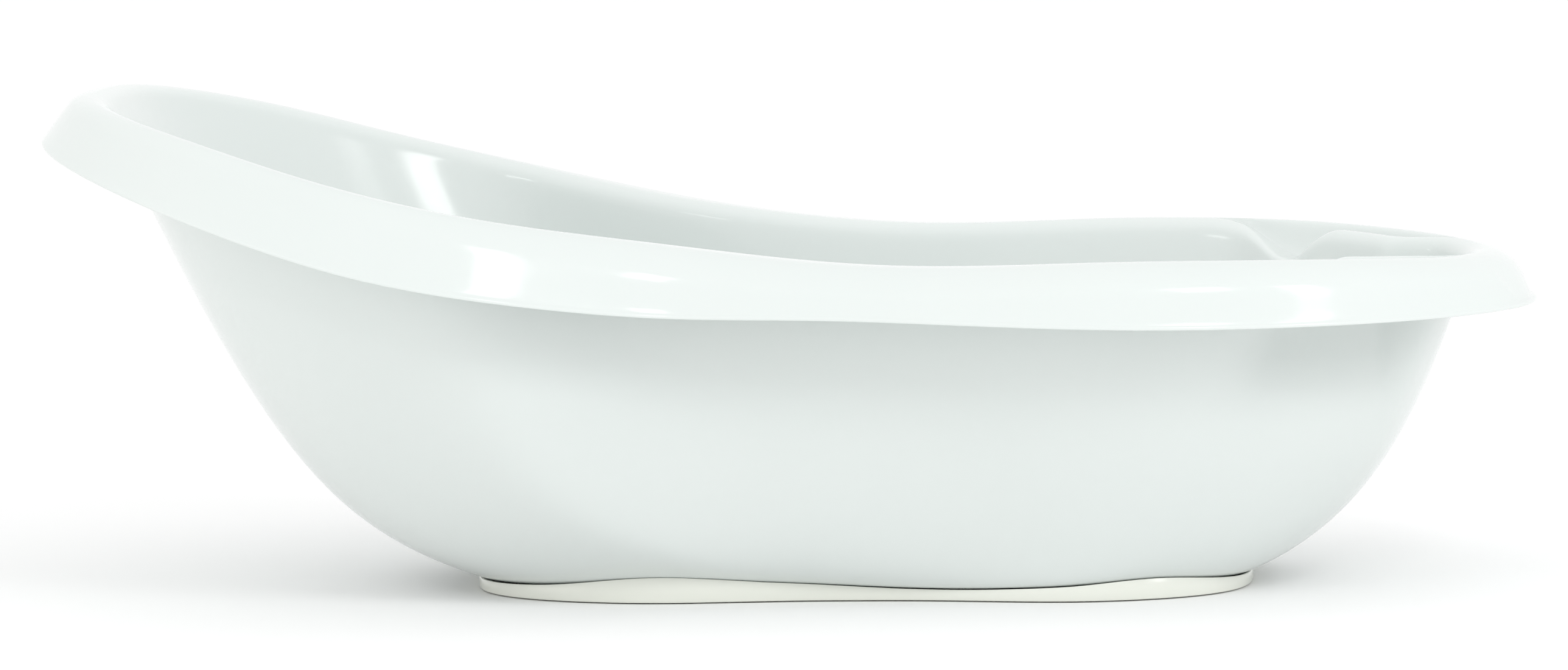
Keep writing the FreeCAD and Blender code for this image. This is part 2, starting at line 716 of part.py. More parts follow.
def seat_lock_nut():
    """Six-sided nut that holds the drain seat from below."""
    body = DOC.addObject("PartDesign::Body", "seat_lock_nut")
    body.Label = "seat_lock_nut"
    sketch = body.newObject("Sketcher::SketchObject", "nut_outline")
    sketch.AttachmentSupport = [(origin_plane(body, "XY_Plane"), "")]
    sketch.MapMode = "FlatFace"
    corner = size("nut_flats") / math.sqrt(3.0)
    spots = [Vector(corner * math.cos(2 * math.pi * i / HEX), corner * math.sin(2 * math.pi * i / HEX), 0)
             for i in range(HEX)]
    for i in range(HEX):
        sketch.addGeometry(Part.LineSegment(spots[i], spots[(i + 1) % HEX]), False)
    rim = sketch.addGeometry(Part.Circle(Vector(), Vector(0, 0, 1), corner), True)
    bore = sketch.addGeometry(Part.Circle(Vector(), Vector(0, 0, 1), size("bore_dia") / 2), False)
    for i in range(HEX):
        sketch.addConstraint(Sketcher.Constraint("Coincident", i, 2, (i + 1) % HEX, 1))
        sketch.addConstraint(Sketcher.Constraint("PointOnObject", i, 1, rim))
    for i in range(1, HEX):
        sketch.addConstraint(Sketcher.Constraint("Equal", 0, i))
    sketch.addConstraint(Sketcher.Constraint("PointOnObject", 0, 1, -1))
    sketch.addConstraint(Sketcher.Constraint("Coincident", rim, 3, -1, 1))
    sketch.addConstraint(Sketcher.Constraint("Coincident", bore, 3, -1, 1))
    bind(sketch, Sketcher.Constraint("Radius", rim, corner), sized("NUT_FLATS / sqrt(3)"))
    bind(sketch, Sketcher.Constraint("Radius", bore, size("bore_dia") / 2 + size("seat_wall")),
         sized("BORE_DIA / 2 + SEAT_WALL + FIT_GAP / 3"))
    pad = body.newObject("PartDesign::Pad", "nut_pad")
    pad.Profile = sketch
    pad.setExpression("Length", sized("NUT_HIGH"))
    place(body, x="DRAIN_X", z="FLOOR_CLEAR - GASKET_HIGH - NUT_HIGH")
    DOC.recompute()
    return body


def drain_plug():
    """Push-in plug with a groove for its seal and a lug for its pull ring."""
    stem = "BORE_DIA / 2 - PLUG_GAP"
    groove = "BORE_DIA / 2 - SEAL_GAP - SEAL_DIA"
    low, high = "SEAL_UP - 0.55 * SEAL_DIA", "SEAL_UP + 0.55 * SEAL_DIA"
    body = turned("drain_plug", [
        ("0", "0"), (f"{stem} - 1", "0"), (stem, "1"), (stem, low), (groove, low), (groove, high),
        (stem, high), (stem, "PLUG_LONG"), ("PLUG_FLANGE_DIA / 2", "PLUG_LONG"),
        ("PLUG_FLANGE_DIA / 2", "PLUG_LONG + 0.5 * PLUG_FLANGE_HIGH"),
        ("PLUG_FLANGE_DIA / 2 - PLUG_FLANGE_HIGH", "PLUG_LONG + PLUG_FLANGE_HIGH"),
        ("0", "PLUG_LONG + PLUG_FLANGE_HIGH")])
    base = "PLUG_LONG + PLUG_FLANGE_HIGH"
    hole = "PULL_DIA / 2 + PULL_GAP"
    lug = profile(body, "lug_outline", "XZ_Plane", [
        ("-LUG_LONG / 2", f"{base} - 0.5"), ("LUG_LONG / 2", f"{base} - 0.5"),
        ("LUG_LONG / 2", f"{base} + 3 * ({hole})"), ("LUG_LONG / 4", f"{base} + 4 * ({hole}) - 1"),
        ("-LUG_LONG / 4", f"{base} + 4 * ({hole}) - 1"), ("-LUG_LONG / 2", f"{base} + 3 * ({hole})")])
    eye = lug.addGeometry(Part.Circle(Vector(0, value_of(sized(f"{base} + 1.3 * ({hole})")), 0),
                                      Vector(0, 0, 1), value_of(sized(hole))), False)
    lug.addConstraint(Sketcher.Constraint("PointOnObject", eye, 3, -2))
    bind(lug, Sketcher.Constraint("DistanceY", -1, 1, eye, 3, value_of(sized(f"{base} + 1.3 * ({hole})"))),
         sized(f"{base} + 1.3 * ({hole})"))
    bind(lug, Sketcher.Constraint("Radius", eye, value_of(sized(hole))), sized(hole))
    pad = body.newObject("PartDesign::Pad", "lug_pad")
    pad.Profile = lug
    pad.SideType = "Symmetric"
    pad.setExpression("Length", sized("LUG_THICK"))
    place(body, x="DRAIN_X", z="FLOOR_CLEAR + WALL + SEAT_FLANGE_HIGH - PLUG_LONG")
    DOC.recompute()
    return body


def torus(label, radius, section, **where):
    """A ring of round section, its sizes and place tied to the sheet."""
    ring = DOC.addObject("Part::Torus", label)
    ring.Label = label
    ring.setExpression("Radius1", sized(radius))
    ring.setExpression("Radius2", sized(section))
    place(ring, **where)
    return ring


def foot_pads():
    """Round rubber pads with a stem pushed up through the ring's flange."""
    pads = []
    for i, (x, y) in enumerate(PAD_PLACES, start=1):
        disc = DOC.addObject("Part::Cylinder", f"pad_disc_{i}")
        disc.setExpression("Radius", sized("PAD_DIA / 2"))
        disc.setExpression("Height", sized("FOOT_GAP"))
        stem = DOC.addObject("Part::Cylinder", f"pad_stem_{i}")
        stem.setExpression("Radius", sized("PAD_STEM_DIA / 2"))
        stem.setExpression("Height", sized("PAD_STEM_TOP"))
        pad = DOC.addObject("Part::Fuse", f"foot_pad_{i}")
        pad.Label = f"foot_pad_{i}"
        pad.Base = disc
        pad.Tool = stem
        pad.Placement = Placement(Vector(x, y, 0), Rotation())
        pads.append(pad)
    return pads


def ring_screws():
    """Pan-head screws that hold the ring to the bosses, as one group."""
    screws = []
    for x, y in SCREW_PLACES:
        head = upright(size("screw_head_dia") / 2, HEAD_TOP - size("screw_head_high"), HEAD_TOP, x, y)
        screws.append(head.fuse(upright(size("screw_dia") / 2, HEAD_TOP, SCREW_TOP, x, y)))
    return plain("ring_screws", Part.makeCompound([s.Solids[0] for s in screws]))


def pull_ring_place():
    """The pull ring lies flat towards the head, its axis through the lug's eye."""
    eye = "FLOOR_CLEAR + WALL + SEAT_FLANGE_HIGH + PLUG_FLANGE_HIGH + 1.3 * (PULL_DIA / 2 + PULL_GAP)"
    return {"x": "DRAIN_X - PULL_RADIUS", "z": eye}


def build():
    """Make every node and return them."""
    shell_shape = tub_shell_shape()
    nodes = [plain("tub_shell", shell_shape), plain("foot_ring", foot_ring_shape(shell_shape))]
    nodes += foot_pads()
    nodes += [ring_screws(), drain_seat(), seat_gasket(), seat_lock_nut(), drain_plug()]
    nodes.append(torus("plug_seal", "BORE_DIA / 2 - SEAL_GAP - SEAL_DIA / 2", "SEAL_DIA / 2", x="DRAIN_X",
                       z="FLOOR_CLEAR + WALL + SEAT_FLANGE_HIGH - PLUG_LONG + SEAL_UP"))
    nodes.append(torus("pull_ring", "PULL_RADIUS", "PULL_DIA / 2", **pull_ring_place()))
    DOC.recompute()
    return nodes


def check(nodes):
    """Stop if any object failed or any node is empty or invalid."""
    for item in DOC.Objects:
        if {"Invalid", "Error"} & set(item.State):
            raise RuntimeError(f"{item.Name} failed: {item.State}")
    for node in nodes:
        if node.Shape.isNull() or not node.Shape.isValid() or not node.Shape.Solids:
            raise RuntimeError(f"{node.Label} has no valid solid")


def export(nodes):
    """Write one STEP file for each node."""
    os.makedirs("parts", exist_ok=True)
    for node in nodes:
        node.Shape.exportStep(f"parts/{node.Label}.step")
        print(node.Label, round(node.Shape.Volume, 1), len(node.Shape.Solids))


NODES = build()
check(NODES)
export(NODES)
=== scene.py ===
import math
import bmesh
import bpy
import numpy as np
from mathutils import Matrix, Vector


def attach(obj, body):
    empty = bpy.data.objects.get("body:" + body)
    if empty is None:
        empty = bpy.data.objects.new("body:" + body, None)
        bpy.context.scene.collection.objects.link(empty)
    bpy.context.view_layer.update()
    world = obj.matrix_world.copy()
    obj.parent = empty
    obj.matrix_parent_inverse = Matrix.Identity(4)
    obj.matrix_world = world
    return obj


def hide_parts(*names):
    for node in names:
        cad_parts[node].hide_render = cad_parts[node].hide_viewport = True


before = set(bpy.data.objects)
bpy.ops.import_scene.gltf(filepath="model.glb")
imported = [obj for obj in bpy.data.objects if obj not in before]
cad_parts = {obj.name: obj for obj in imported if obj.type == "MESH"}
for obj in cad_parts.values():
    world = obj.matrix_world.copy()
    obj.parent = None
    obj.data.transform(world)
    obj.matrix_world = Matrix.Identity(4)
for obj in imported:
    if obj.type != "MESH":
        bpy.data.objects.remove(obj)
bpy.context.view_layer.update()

MM = 0.001


# ---- the tub ---------------------------------------------------------------------------------
# The bowl, its rolled rim, the hanging skirt, the two soap dishes and the pouring spout are one
# injection moulding in white polypropylene, 3 mm thick. Half sections of it are drawn around the
# tub, and one smooth skin is run through them, with a second skin a wall's thickness behind it.

TUB_LENGTH = 900.0
WALL = 3.0
RIM_HALVES = {"head": 245.0, "waist": 179.0, "toe": 211.5}
RIM_MIDDLES = {"shoulder": -248.0, "waist": -13.5, "hip": 375.0}
RIM_POWERS = {"head": 2.95, "toe": 2.27}
REACH = {"head": 25.3, "toe": 28.0, "side": 30.0}
LEAN = {"head": 15.0, "toe": 5.0, "side": 5.0}
BEAD = 1.2
SPOUT_BEAD = 3.0
SPOUT_HALF = 62.0
HEAD_X = -TUB_LENGTH / 2 + REACH["head"] + BEAD
TOE_X = TUB_LENGTH / 2 - REACH["toe"] - SPOUT_BEAD
RIM_SHARES = (-0.383, -0.278, -0.122, 0.056, 0.244, 0.344)
RIM_X = [HEAD_X] + [share * TUB_LENGTH for share in RIM_SHARES] + [TOE_X]
CROWN_HEIGHTS = list(zip(RIM_X, (303.0, 282.9, 255.9, 226.3, 205.2, 206.1, 205.2, 199.2)))
SKIRT_DROPS = list(zip(RIM_X, (27.2, 39.6, 45.4, 45.0, 30.3, 37.9, 37.4, 31.0)))
CREASE_DROPS = [(HEAD_X, 4.0), (RIM_X[3], 15.8), (RIM_X[5], 13.0)]
MOUTH_INSET = {"head": 15.7, "toe": 13.4, "side": 24.0}
LIP_ROUND = 12.0
DISH_INSET = 26.0
DISH_DEPTH = 14.0
NOTCH_DEPTH = 22.0
NOTCH_TURN = 42.3
NOTCH_HEAD_SPREAD = 12.0
NOTCH_TOE_SPREAD = 6.5
NOTCH_SHARPNESS = 2.0
NOTCH_ROUND_SHARE = 0.45
DISH_START_SPREAD = 11.0
DISH_END_TURN = 26.0
DISH_END_SPREAD = 7.0
WALL_TOP_SLOPE = {"head": 66.0, "toe": 72.3, "side": 83.0}
WALL_BASE_SLOPE = {"head": 18.5, "toe": 21.7, "side": 12.0}
WALL_PULL = {"head": 0.83, "toe": 0.75, "side": 0.8}
FLOOR_CLEAR = 6.5
FLOOR_INSET = 24.0
FOOT_X = (-191.9, 278.1)
FOOT_HALVES = {"head": 128.3, "waist": 112.7, "toe": 131.0}
FOOT_POWER = 3.2
FOOT_MIDDLE = sum(FOOT_X) / 2
FOOT_ENDS = (70.0, 60.0)
FOOT_PLACES = (FOOT_X[0] + FOOT_ENDS[0], FOOT_MIDDLE, FOOT_X[1] - FOOT_ENDS[1])
FOOT_SEAM = [(FOOT_X[0], 8.0), (-145.0, 10.5), (-80.0, 16.6), (0.0, 12.3), (95.0, 7.8),
             (165.0, 9.9), (224.0, 13.7), (FOOT_X[1], 8.4)]
TURN_STEPS = ((19.5, 4.0), (34.5, 2.0), (51.5, 1.0), (58.5, 2.0), (180.0, 4.0))
DRAIN_X = 195.0
DRAIN_HOLE = 15.3
END_REACH = 1.4
SPOUT_EDGE = 0.3
SPOUT_FACE = 3.5
SPOUT_OVERHANG = 0.5
SPOUT_BEND = 0.98
BEAD_HEIGHTS = (3.0, 2.2, 0.6)
BEAD_FOOT = 0.4
BASE_INSET = 0.4 * WALL
BASE_LIFT = 0.9 * WALL
LIP_SHARE = 0.9
PUSH_FROM, PUSH_OVER = 0.5, 0.42
LOWER_FROM, LOWER_OVER = 0.7, 0.3
DISH_INNER_FROM, DISH_INNER_OVER = 0.02, 0.34
DISH_OUTER_FROM, DISH_OUTER_OVER = 0.66, 0.3
HIDDEN_ROWS_LEFT_OUT = 3
FLOOR_RING_COUNT = 8
FLOOR_RING_GROWTH = 1.6
COLUMN_FINENESS = 3
ROW_FINENESS = 3


def ease(t):
    """A step from 0 to 1 with level ends."""
    t = min(1.0, max(0.0, t))
    return t * t * t * (t * (6.0 * t - 15.0) + 10.0)


def station_slope(stations, i):
    """Slope of the smooth curve at station i."""
    def chord(a, b):
        return (b[1] - a[1]) / (b[0] - a[0])
    last = len(stations) - 1
    if i in (0, last):
        return chord(stations[max(0, i - 1)], stations[min(last, i + 1)])
    before = stations[i][0] - stations[i - 1][0]
    after = stations[i + 1][0] - stations[i][0]
    left, right = chord(stations[i - 1], stations[i]), chord(stations[i], stations[i + 1])
    return (left * after + right * before) / (before + after)


def through(stations, x):
    """Height at x of the smooth curve through the stations, straight beyond its ends."""
    last = len(stations) - 1
    if x <= stations[0][0]:
        return stations[0][1] + station_slope(stations, 0) * (x - stations[0][0])
    if x >= stations[last][0]:
        return stations[last][1] + station_slope(stations, last) * (x - stations[last][0])
    i = next(k for k in range(last) if x <= stations[k + 1][0])
    step = stations[i + 1][0] - stations[i][0]
    t = (x - stations[i][0]) / step
    rise_a, rise_b = station_slope(stations, i) * step, station_slope(stations, i + 1) * step
    return (stations[i][1] * (1 + 2 * t) * (1 - t) ** 2 + rise_a * t * (1 - t) ** 2
            + stations[i + 1][1] * t * t * (3 - 2 * t) + rise_b * t * t * (t - 1))


def waisted_oval(u, ends, powers, halves, places):
    """Plan point at angle u of an oval with a waist between its two ends."""
    c, s = math.cos(u), math.sin(u)
    n = powers[1] if c > 0 else powers[0]
    rho = (abs(c) ** n + abs(s) ** n) ** (-1.0 / n)
    x = (ends[0] + ends[1]) / 2 + (ends[1] - ends[0]) / 2 * rho * c
    waist = halves["waist"]
    if x < places[1]:
        half = waist + (halves["head"] - waist) * ease((places[1] - x) / (places[1] - places[0]))
    else:
        half = waist + (halves["toe"] - waist) * ease((x - places[1]) / (places[2] - places[1]))
    return x, rho * s * half


def crown(u):
    """Plan point of the highest line of the rim."""
    powers, places = tuple(RIM_POWERS.values()), tuple(RIM_MIDDLES.values())
    return waisted_oval(u, (HEAD_X, TOE_X), powers, RIM_HALVES, places)


def foot(u):
    """Plan point of the outside of the foot ring."""
    return waisted_oval(u, FOOT_X, (FOOT_POWER, FOOT_POWER), FOOT_HALVES, FOOT_PLACES)


def outward(curve, u):
    """Unit plan normal of a closed curve, pointing away from the tub."""
    step = 1e-4
    a, b = curve(u - step), curve(u + step)
    length = math.hypot(b[0] - a[0], b[1] - a[1])
    return (b[1] - a[1]) / length, -(b[0] - a[0]) / length


def inset(curve, u, distance):
    """Plan point a distance inside a closed curve."""
    (x, y), (nx, ny) = curve(u), outward(curve, u)
    return x - nx * distance, y - ny * distance


def turn(u):
    """Degrees between the toe direction and the angle u, the same on both sides."""
    return abs((math.degrees(u) + 180.0) % 360.0 - 180.0)


def by_end(u, values):
    """Blend of a size's head, toe and side values at angle u."""
    c = math.cos(u)
    head, toe = ease(-c * END_REACH), ease(c * END_REACH)
    return head * values["head"] + toe * values["toe"] + (1.0 - head - toe) * values["side"]


def notch(u):
    """1 in the drain notch of a soap dish: an easy fall from the head side, a sharp rise to the ridge."""
    away = turn(u) - NOTCH_TURN
    if away > 0:
        return ease(1.0 - away / NOTCH_HEAD_SPREAD)
    return max(0.0, 1.0 + away / NOTCH_TOE_SPREAD) ** NOTCH_SHARPNESS


def along_dish(u):
    """1 along the length of a soap dish, 0 beyond its ends."""
    start = ease((NOTCH_TURN + DISH_START_SPREAD - turn(u)) / DISH_START_SPREAD)
    return start * ease((turn(u) - DISH_END_TURN + DISH_END_SPREAD) / DISH_END_SPREAD)


def dish_drop(u):
    """How far the floor of a soap dish lies under the rim; it falls towards the notch."""
    toward_notch = min(1.0, max(0.0, (turn(u) - DISH_END_TURN) / (NOTCH_TURN - DISH_END_TURN)))
    return (DISH_DEPTH + (NOTCH_DEPTH - DISH_DEPTH) * toward_notch) * max(along_dish(u), notch(u))


def spout_share(u):
    """1 inside the pouring spout, 0 outside it."""
    x, y = crown(u)
    return ease((SPOUT_HALF - abs(y)) / (SPOUT_EDGE * SPOUT_HALF) + 0.5) if x > 0 else 0.0


def lip_round(u):
    """Radius of the lip above the mouth, smaller in the notches."""
    return LIP_ROUND * (1.0 - (1.0 - NOTCH_ROUND_SHARE) * notch(u))


def bezier(a, b, c, d, t):
    r = 1.0 - t
    return a * r ** 3 + 3 * b * r * r * t + 3 * c * r * t * t + d * t ** 3


def floor_rows(u, rows):
    """Floor from the edge of its flat middle to the base of the wall."""
    flat = FLOOR_CLEAR + WALL
    x, y = foot(u)
    start = (FOOT_MIDDLE + (x - FOOT_MIDDLE) * (1.0 - 2 * FLOOR_INSET / (FOOT_X[1] - FOOT_X[0])),
             y * (1.0 - FLOOR_INSET / FOOT_HALVES["waist"]))
    end_x, end_y = inset(foot, u, BASE_INSET)
    end_z = through(FOOT_SEAM, x) + BASE_LIFT
    points = []
    for t in (i / rows for i in range(rows)):
        points.append((start[0] + (end_x - start[0]) * t, start[1] + (end_y - start[1]) * t,
                       flat + (end_z - flat) * t * t))
    return points


def wall_rows(u, rows):
    """Inner wall from its base on the foot up to the mouth."""
    base_x, base_y = inset(foot, u, BASE_INSET)
    base_z = through(FOOT_SEAM, foot(u)[0]) + BASE_LIFT
    top_x, top_y = inset(crown, u, by_end(u, MOUTH_INSET))
    nx, ny = outward(crown, u)
    reach = math.hypot(top_x - base_x, top_y - base_y)
    rise = through(CROWN_HEIGHTS, crown(u)[0]) - lip_round(u) - base_z
    base, top = math.radians(by_end(u, WALL_BASE_SLOPE)), math.radians(by_end(u, WALL_TOP_SLOPE))
    first = (reach * math.sin(top) - rise * math.cos(top)) / math.sin(top - base)
    last = (rise - first * math.sin(base)) / math.sin(top)
    pull = by_end(u, WALL_PULL)
    points = []
    for t in (i / rows for i in range(rows + 1)):
        near_top = reach - pull * last * math.cos(top)
        along = bezier(0.0, pull * first * math.cos(base), near_top, reach, t) / reach
        up = bezier(0.0, pull * first * math.sin(base), rise - pull * last * math.sin(top), rise, t)
        pushed = DISH_INSET * along_dish(u) * ease((up / rise - PUSH_FROM) / PUSH_OVER)
        lowered = NOTCH_DEPTH * notch(u) * ease((up / rise - LOWER_FROM) / LOWER_OVER)
        points.append((base_x + (top_x - base_x) * along - nx * pushed,
                       base_y + (top_y - base_y) * along - ny * pushed, base_z + up - lowered))
    return points


def deck_rows(u, rows, lip_steps):
    """Rounded lip above the mouth, then the deck out to the crown, with its soap dish."""
    (kx, ky), (nx, ny) = crown(u), outward(crown, u)
    kz = through(CROWN_HEIGHTS, kx)
    rounding = lip_round(u)
    round_in = min(rounding, LIP_SHARE * by_end(u, MOUTH_INSET))
    mouth = by_end(u, MOUTH_INSET) + DISH_INSET * along_dish(u)
    lowered = NOTCH_DEPTH * notch(u)
    points = []
    for angle in (math.pi / 2 * i / lip_steps for i in range(1, lip_steps + 1)):
        back = mouth - round_in * (1.0 - math.cos(angle))
        points.append((kx - nx * back, ky - ny * back, kz - rounding * (1.0 - math.sin(angle)) - lowered))
    for t in (i / rows for i in range(1, rows + 1)):
        back = (mouth - round_in) * (1.0 - t)
        inner_side = ease((t - DISH_INNER_FROM) / DISH_INNER_OVER)
        outer_side = 1.0 - ease((t - DISH_OUTER_FROM) / DISH_OUTER_OVER)
        depth = (dish_drop(u) * inner_side + lowered * (1.0 - inner_side)) * outer_side
        points.append((kx - nx * back, ky - ny * back, kz - depth))
    return points


def skirt_rows(u, round_steps, face_steps):
    """From the crown over the outer rounding to the crease, and down the skirt to its bead."""
    (kx, ky), (nx, ny) = crown(u), outward(crown, u)
    kz, reach, drop = through(CROWN_HEIGHTS, kx), by_end(u, REACH), through(SKIRT_DROPS, kx)
    spout, lean = spout_share(u), by_end(u, LEAN)
    crease_out = (reach - lean) * (1.0 - spout) + (reach - SPOUT_OVERHANG) * spout
    crease_down = through(CREASE_DROPS, kx) * (1.0 - spout) + (drop - SPOUT_FACE) * spout
    points = []
    for t in (i / round_steps for i in range(1, round_steps + 1)):
        arc = (1.0 - math.sqrt(1.0 - SPOUT_BEND * t * t)) / (1.0 - math.sqrt(1.0 - SPOUT_BEND))
        points.append((crease_out * t, crease_down * (t * t * (1.0 - spout) + arc * spout)))
    for t in (i / face_steps for i in range(1, face_steps + 1)):
        down = crease_down + (drop - BEAD_HEIGHTS[0] - crease_down) * t
        points.append((crease_out + (reach - crease_out) * t, down))
    proud = BEAD * (1.0 - spout) + SPOUT_BEAD * spout
    points += [(reach + proud, drop - height) for height in BEAD_HEIGHTS[1:]]
    points.append((reach + BEAD_FOOT * proud, drop))
    return [(kx + nx * out, ky + ny * out, kz - down) for out, down in points]


def section_angles():
    """Angles around the tub, closer together at the soap dishes and closest at their notches."""
    half = [0.0]
    for end, step in TURN_STEPS:
        while half[-1] + step < end + 1e-6:
            half.append(half[-1] + step)
    return np.radians([-180.0] + [-d for d in reversed(half[1:])] + half)


def wall_behind(grid):
    """The hidden side of the skin: each point moved a wall's thickness against the normal."""
    along = np.roll(grid, -1, axis=0) - np.roll(grid, 1, axis=0)
    across = np.empty_like(grid)
    across[:, 1:-1] = grid[:, 2:] - grid[:, :-2]
    across[:, 0] = grid[:, 1] - grid[:, 0]
    across[:, -1] = grid[:, -1] - grid[:, -2]
    normal = np.cross(across, along)
    return grid - WALL * normal / np.linalg.norm(normal, axis=2, keepdims=True)


def closed_weights(count, fineness):
    """Cubic spline weights of each pole of a closed curve, at even steps along it."""
    weights = np.zeros((count * fineness, count))
    for i in range(count):
        for j in range(fineness):
            f = j / fineness
            shares = ((1 - f) ** 3, 3 * f ** 3 - 6 * f * f + 4, -3 * f ** 3 + 3 * f * f + 3 * f + 1, f ** 3)
            for k, share in enumerate(shares):
                weights[i * fineness + j, (i + k - 1) % count] = share / 6
    return weights


def open_weights(count, fineness):
    """Cubic spline weights of each pole of a curve that starts and ends on its end poles."""
    spans = count - 3
    knots = np.concatenate(([0.0] * 3, np.arange(spans + 1), [float(spans)] * 3))
    places = np.linspace(0.0, spans, spans * fineness + 1)
    weights = np.zeros((len(places), len(knots) - 1))
    for i, t in enumerate(places):
        weights[i, min(int(t), spans - 1) + 3] = 1.0
    for degree in (1, 2, 3):
        for k in range(len(knots) - 1 - degree):
            left, right = knots[k + degree] - knots[k], knots[k + degree + 1] - knots[k + 1]
            rising = (places - knots[k]) / left * weights[:, k] if left else 0.0
            falling = (knots[k + degree + 1] - places) / right * weights[:, k + 1] if right else 0.0
            weights[:, k] = rising + falling
    return weights[:, :count]


def tub_skin():
    """Grid of points around the whole shell, from the floor over the rim to the underside."""
    front = np.array([floor_rows(u, 3) + wall_rows(u, 9) + deck_rows(u, 8, 3) + skirt_rows(u, 5, 3)
                      for u in section_angles()])
    behind = wall_behind(front)[:, :-HIDDEN_ROWS_LEFT_OUT][:, ::-1]
    behind[:, -1, :2] = front[:, 0, :2]
    behind[:, -1, 2] = FLOOR_CLEAR
    poles = np.concatenate((front, behind), axis=1)
    around = closed_weights(poles.shape[0], COLUMN_FINENESS)
    up = open_weights(poles.shape[1], ROW_FINENESS)
    return np.einsum("ci,ijk,rj->crk", around, poles, up)


def floor_rings(edge, height, rings):
    """Flat rings of the floor between the drain hole and the edge of the floor's flat middle."""
    angles = np.arctan2(edge[:, 1], edge[:, 0] - DRAIN_X)
    hole = np.stack((DRAIN_X + DRAIN_HOLE * np.cos(angles), DRAIN_HOLE * np.sin(angles)), axis=1)
    rows = [hole + (edge[:, :2] - hole) * (i / rings) ** FLOOR_RING_GROWTH for i in range(rings)]
    return np.stack([np.column_stack((row, np.full(len(row), height))) for row in rows], axis=1)


def grid_mesh(name, grid, close_rows):
    """Mesh of a grid of points that is closed around its columns, and around its rows if asked."""
    columns, rows = grid.shape[:2]
    index = np.arange(columns * rows).reshape(columns, rows)
    if close_rows:
        index = np.concatenate((index, index[:, :1]), axis=1)
    ahead = np.roll(index, -1, axis=0)
    quads = np.stack((index[:, :-1], index[:, 1:], ahead[:, 1:], ahead[:, :-1]), axis=-1).reshape(-1, 4)
    mesh = bpy.data.meshes.new(name)
    mesh.from_pydata((grid.reshape(-1, 3) * MM).tolist(), [], quads.tolist())
    mesh.polygons.foreach_set("use_smooth", [True] * len(mesh.polygons))
    return mesh


def added(name, mesh, material, body, slot, *nodes):
    """Put a finished mesh in the scene: its material, the body it rides on and the nodes it stands for."""
    piece = bpy.data.objects.new(name, mesh)
    bpy.context.scene.collection.objects.link(piece)
    piece.data.materials.clear()
    piece.data.materials.append(material)
    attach(piece, body)
    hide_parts(*nodes)
    return piece


def linear(hex_colour):
    """sRGB hex to the linear colour that a shader takes."""
    values = [int(hex_colour[i:i + 2], 16) / 255.0 for i in (1, 3, 5)]
    return [v / 12.92 if v <= 0.04045 else ((v + 0.055) / 1.055) ** 2.4 for v in values] + [1.0]


def add_node(tree, kind, settings=None, inputs=None):
    """Add a node; an input is a value, or a link when it is another node's output."""
    made = tree.nodes.new(kind)
    for key, value in (settings or {}).items():
        setattr(made, key, value)
    for key, value in (inputs or {}).items():
        if isinstance(value, bpy.types.NodeSocket):
            tree.links.new(value, made.inputs[key])
        else:
            made.inputs[key].default_value = value
    return made


def new_material(name):
    """An empty material and its node tree, with the output in place."""
    material = bpy.data.materials.new(name)
    material.use_nodes = True
    material.node_tree.nodes.clear()
    return material, material.node_tree


# White polypropylene from a polished mould: a soft gloss over a milky body, so light sinks in a
# little and comes out again. A slow ripple of the cooling skin bends the reflections slightly,
# and fine hazing, drawn coarser than it is, changes the gloss from place to place.
CLOUD_MM = 150.0
RIPPLE_DEEP_MM = 0.4
LIGHT_SINKS_MM = 4.0


def moulded_polypropylene(name, tint, shade, roughness, ripple_mm, haze_mm):
    material, tree = new_material(name)
    place = add_node(tree, "ShaderNodeTexCoord").outputs["Object"]
    cloud = add_node(tree, "ShaderNodeTexNoise", inputs={
        "Vector": place, "Scale": 1.0 / (CLOUD_MM * MM), "Detail": 2.0})
    colour = add_node(tree, "ShaderNodeMix", {"data_type": "RGBA"},
                      {"Factor": cloud.outputs["Fac"], "A": linear(tint), "B": linear(shade)})
    haze = add_node(tree, "ShaderNodeTexNoise", inputs={
        "Vector": place, "Scale": 1.0 / (haze_mm * MM), "Detail": 4.0})
    gloss = add_node(tree, "ShaderNodeMapRange", inputs={
        "Value": haze.outputs["Fac"], "From Min": 0.3, "From Max": 0.7,
        "To Min": roughness * 0.85, "To Max": roughness * 1.25})
    ripple = add_node(tree, "ShaderNodeTexNoise", inputs={
        "Vector": place, "Scale": 1.0 / (ripple_mm * MM), "Detail": 1.0, "Roughness": 0.4})
    bump = add_node(tree, "ShaderNodeBump", inputs={
        "Height": ripple.outputs["Fac"], "Strength": 0.06, "Distance": RIPPLE_DEEP_MM * MM})
    skin = add_node(tree, "ShaderNodeBsdfPrincipled", inputs={
        "Base Color": colour.outputs["Result"], "Roughness": gloss.outputs["Result"],
        "Normal": bump.outputs["Normal"], "IOR": 1.49, "Subsurface Weight": 0.12,
        "Subsurface Radius": (0.9, 1.0, 0.95), "Subsurface Scale": LIGHT_SINKS_MM * MM})
    add_node(tree, "ShaderNodeOutputMaterial", inputs={"Surface": skin.outputs["BSDF"]})
    return material


TUB_PLASTIC = moulded_polypropylene("white_moulded_polypropylene", "#DDE2E0", "#D9DFDD", 0.12, 35.0, 6.0)

skin = tub_skin()
floor_above = floor_rings(skin[:, 0], FLOOR_CLEAR + WALL, FLOOR_RING_COUNT)
floor_below = floor_rings(skin[:, -1], FLOOR_CLEAR, FLOOR_RING_COUNT)[:, ::-1]
tub_grid = np.concatenate((floor_above, skin, floor_below), axis=1)
added("bath_tub", grid_mesh("bath_tub", tub_grid, True), TUB_PLASTIC, "tub", "tub_plastic", "tub_shell")


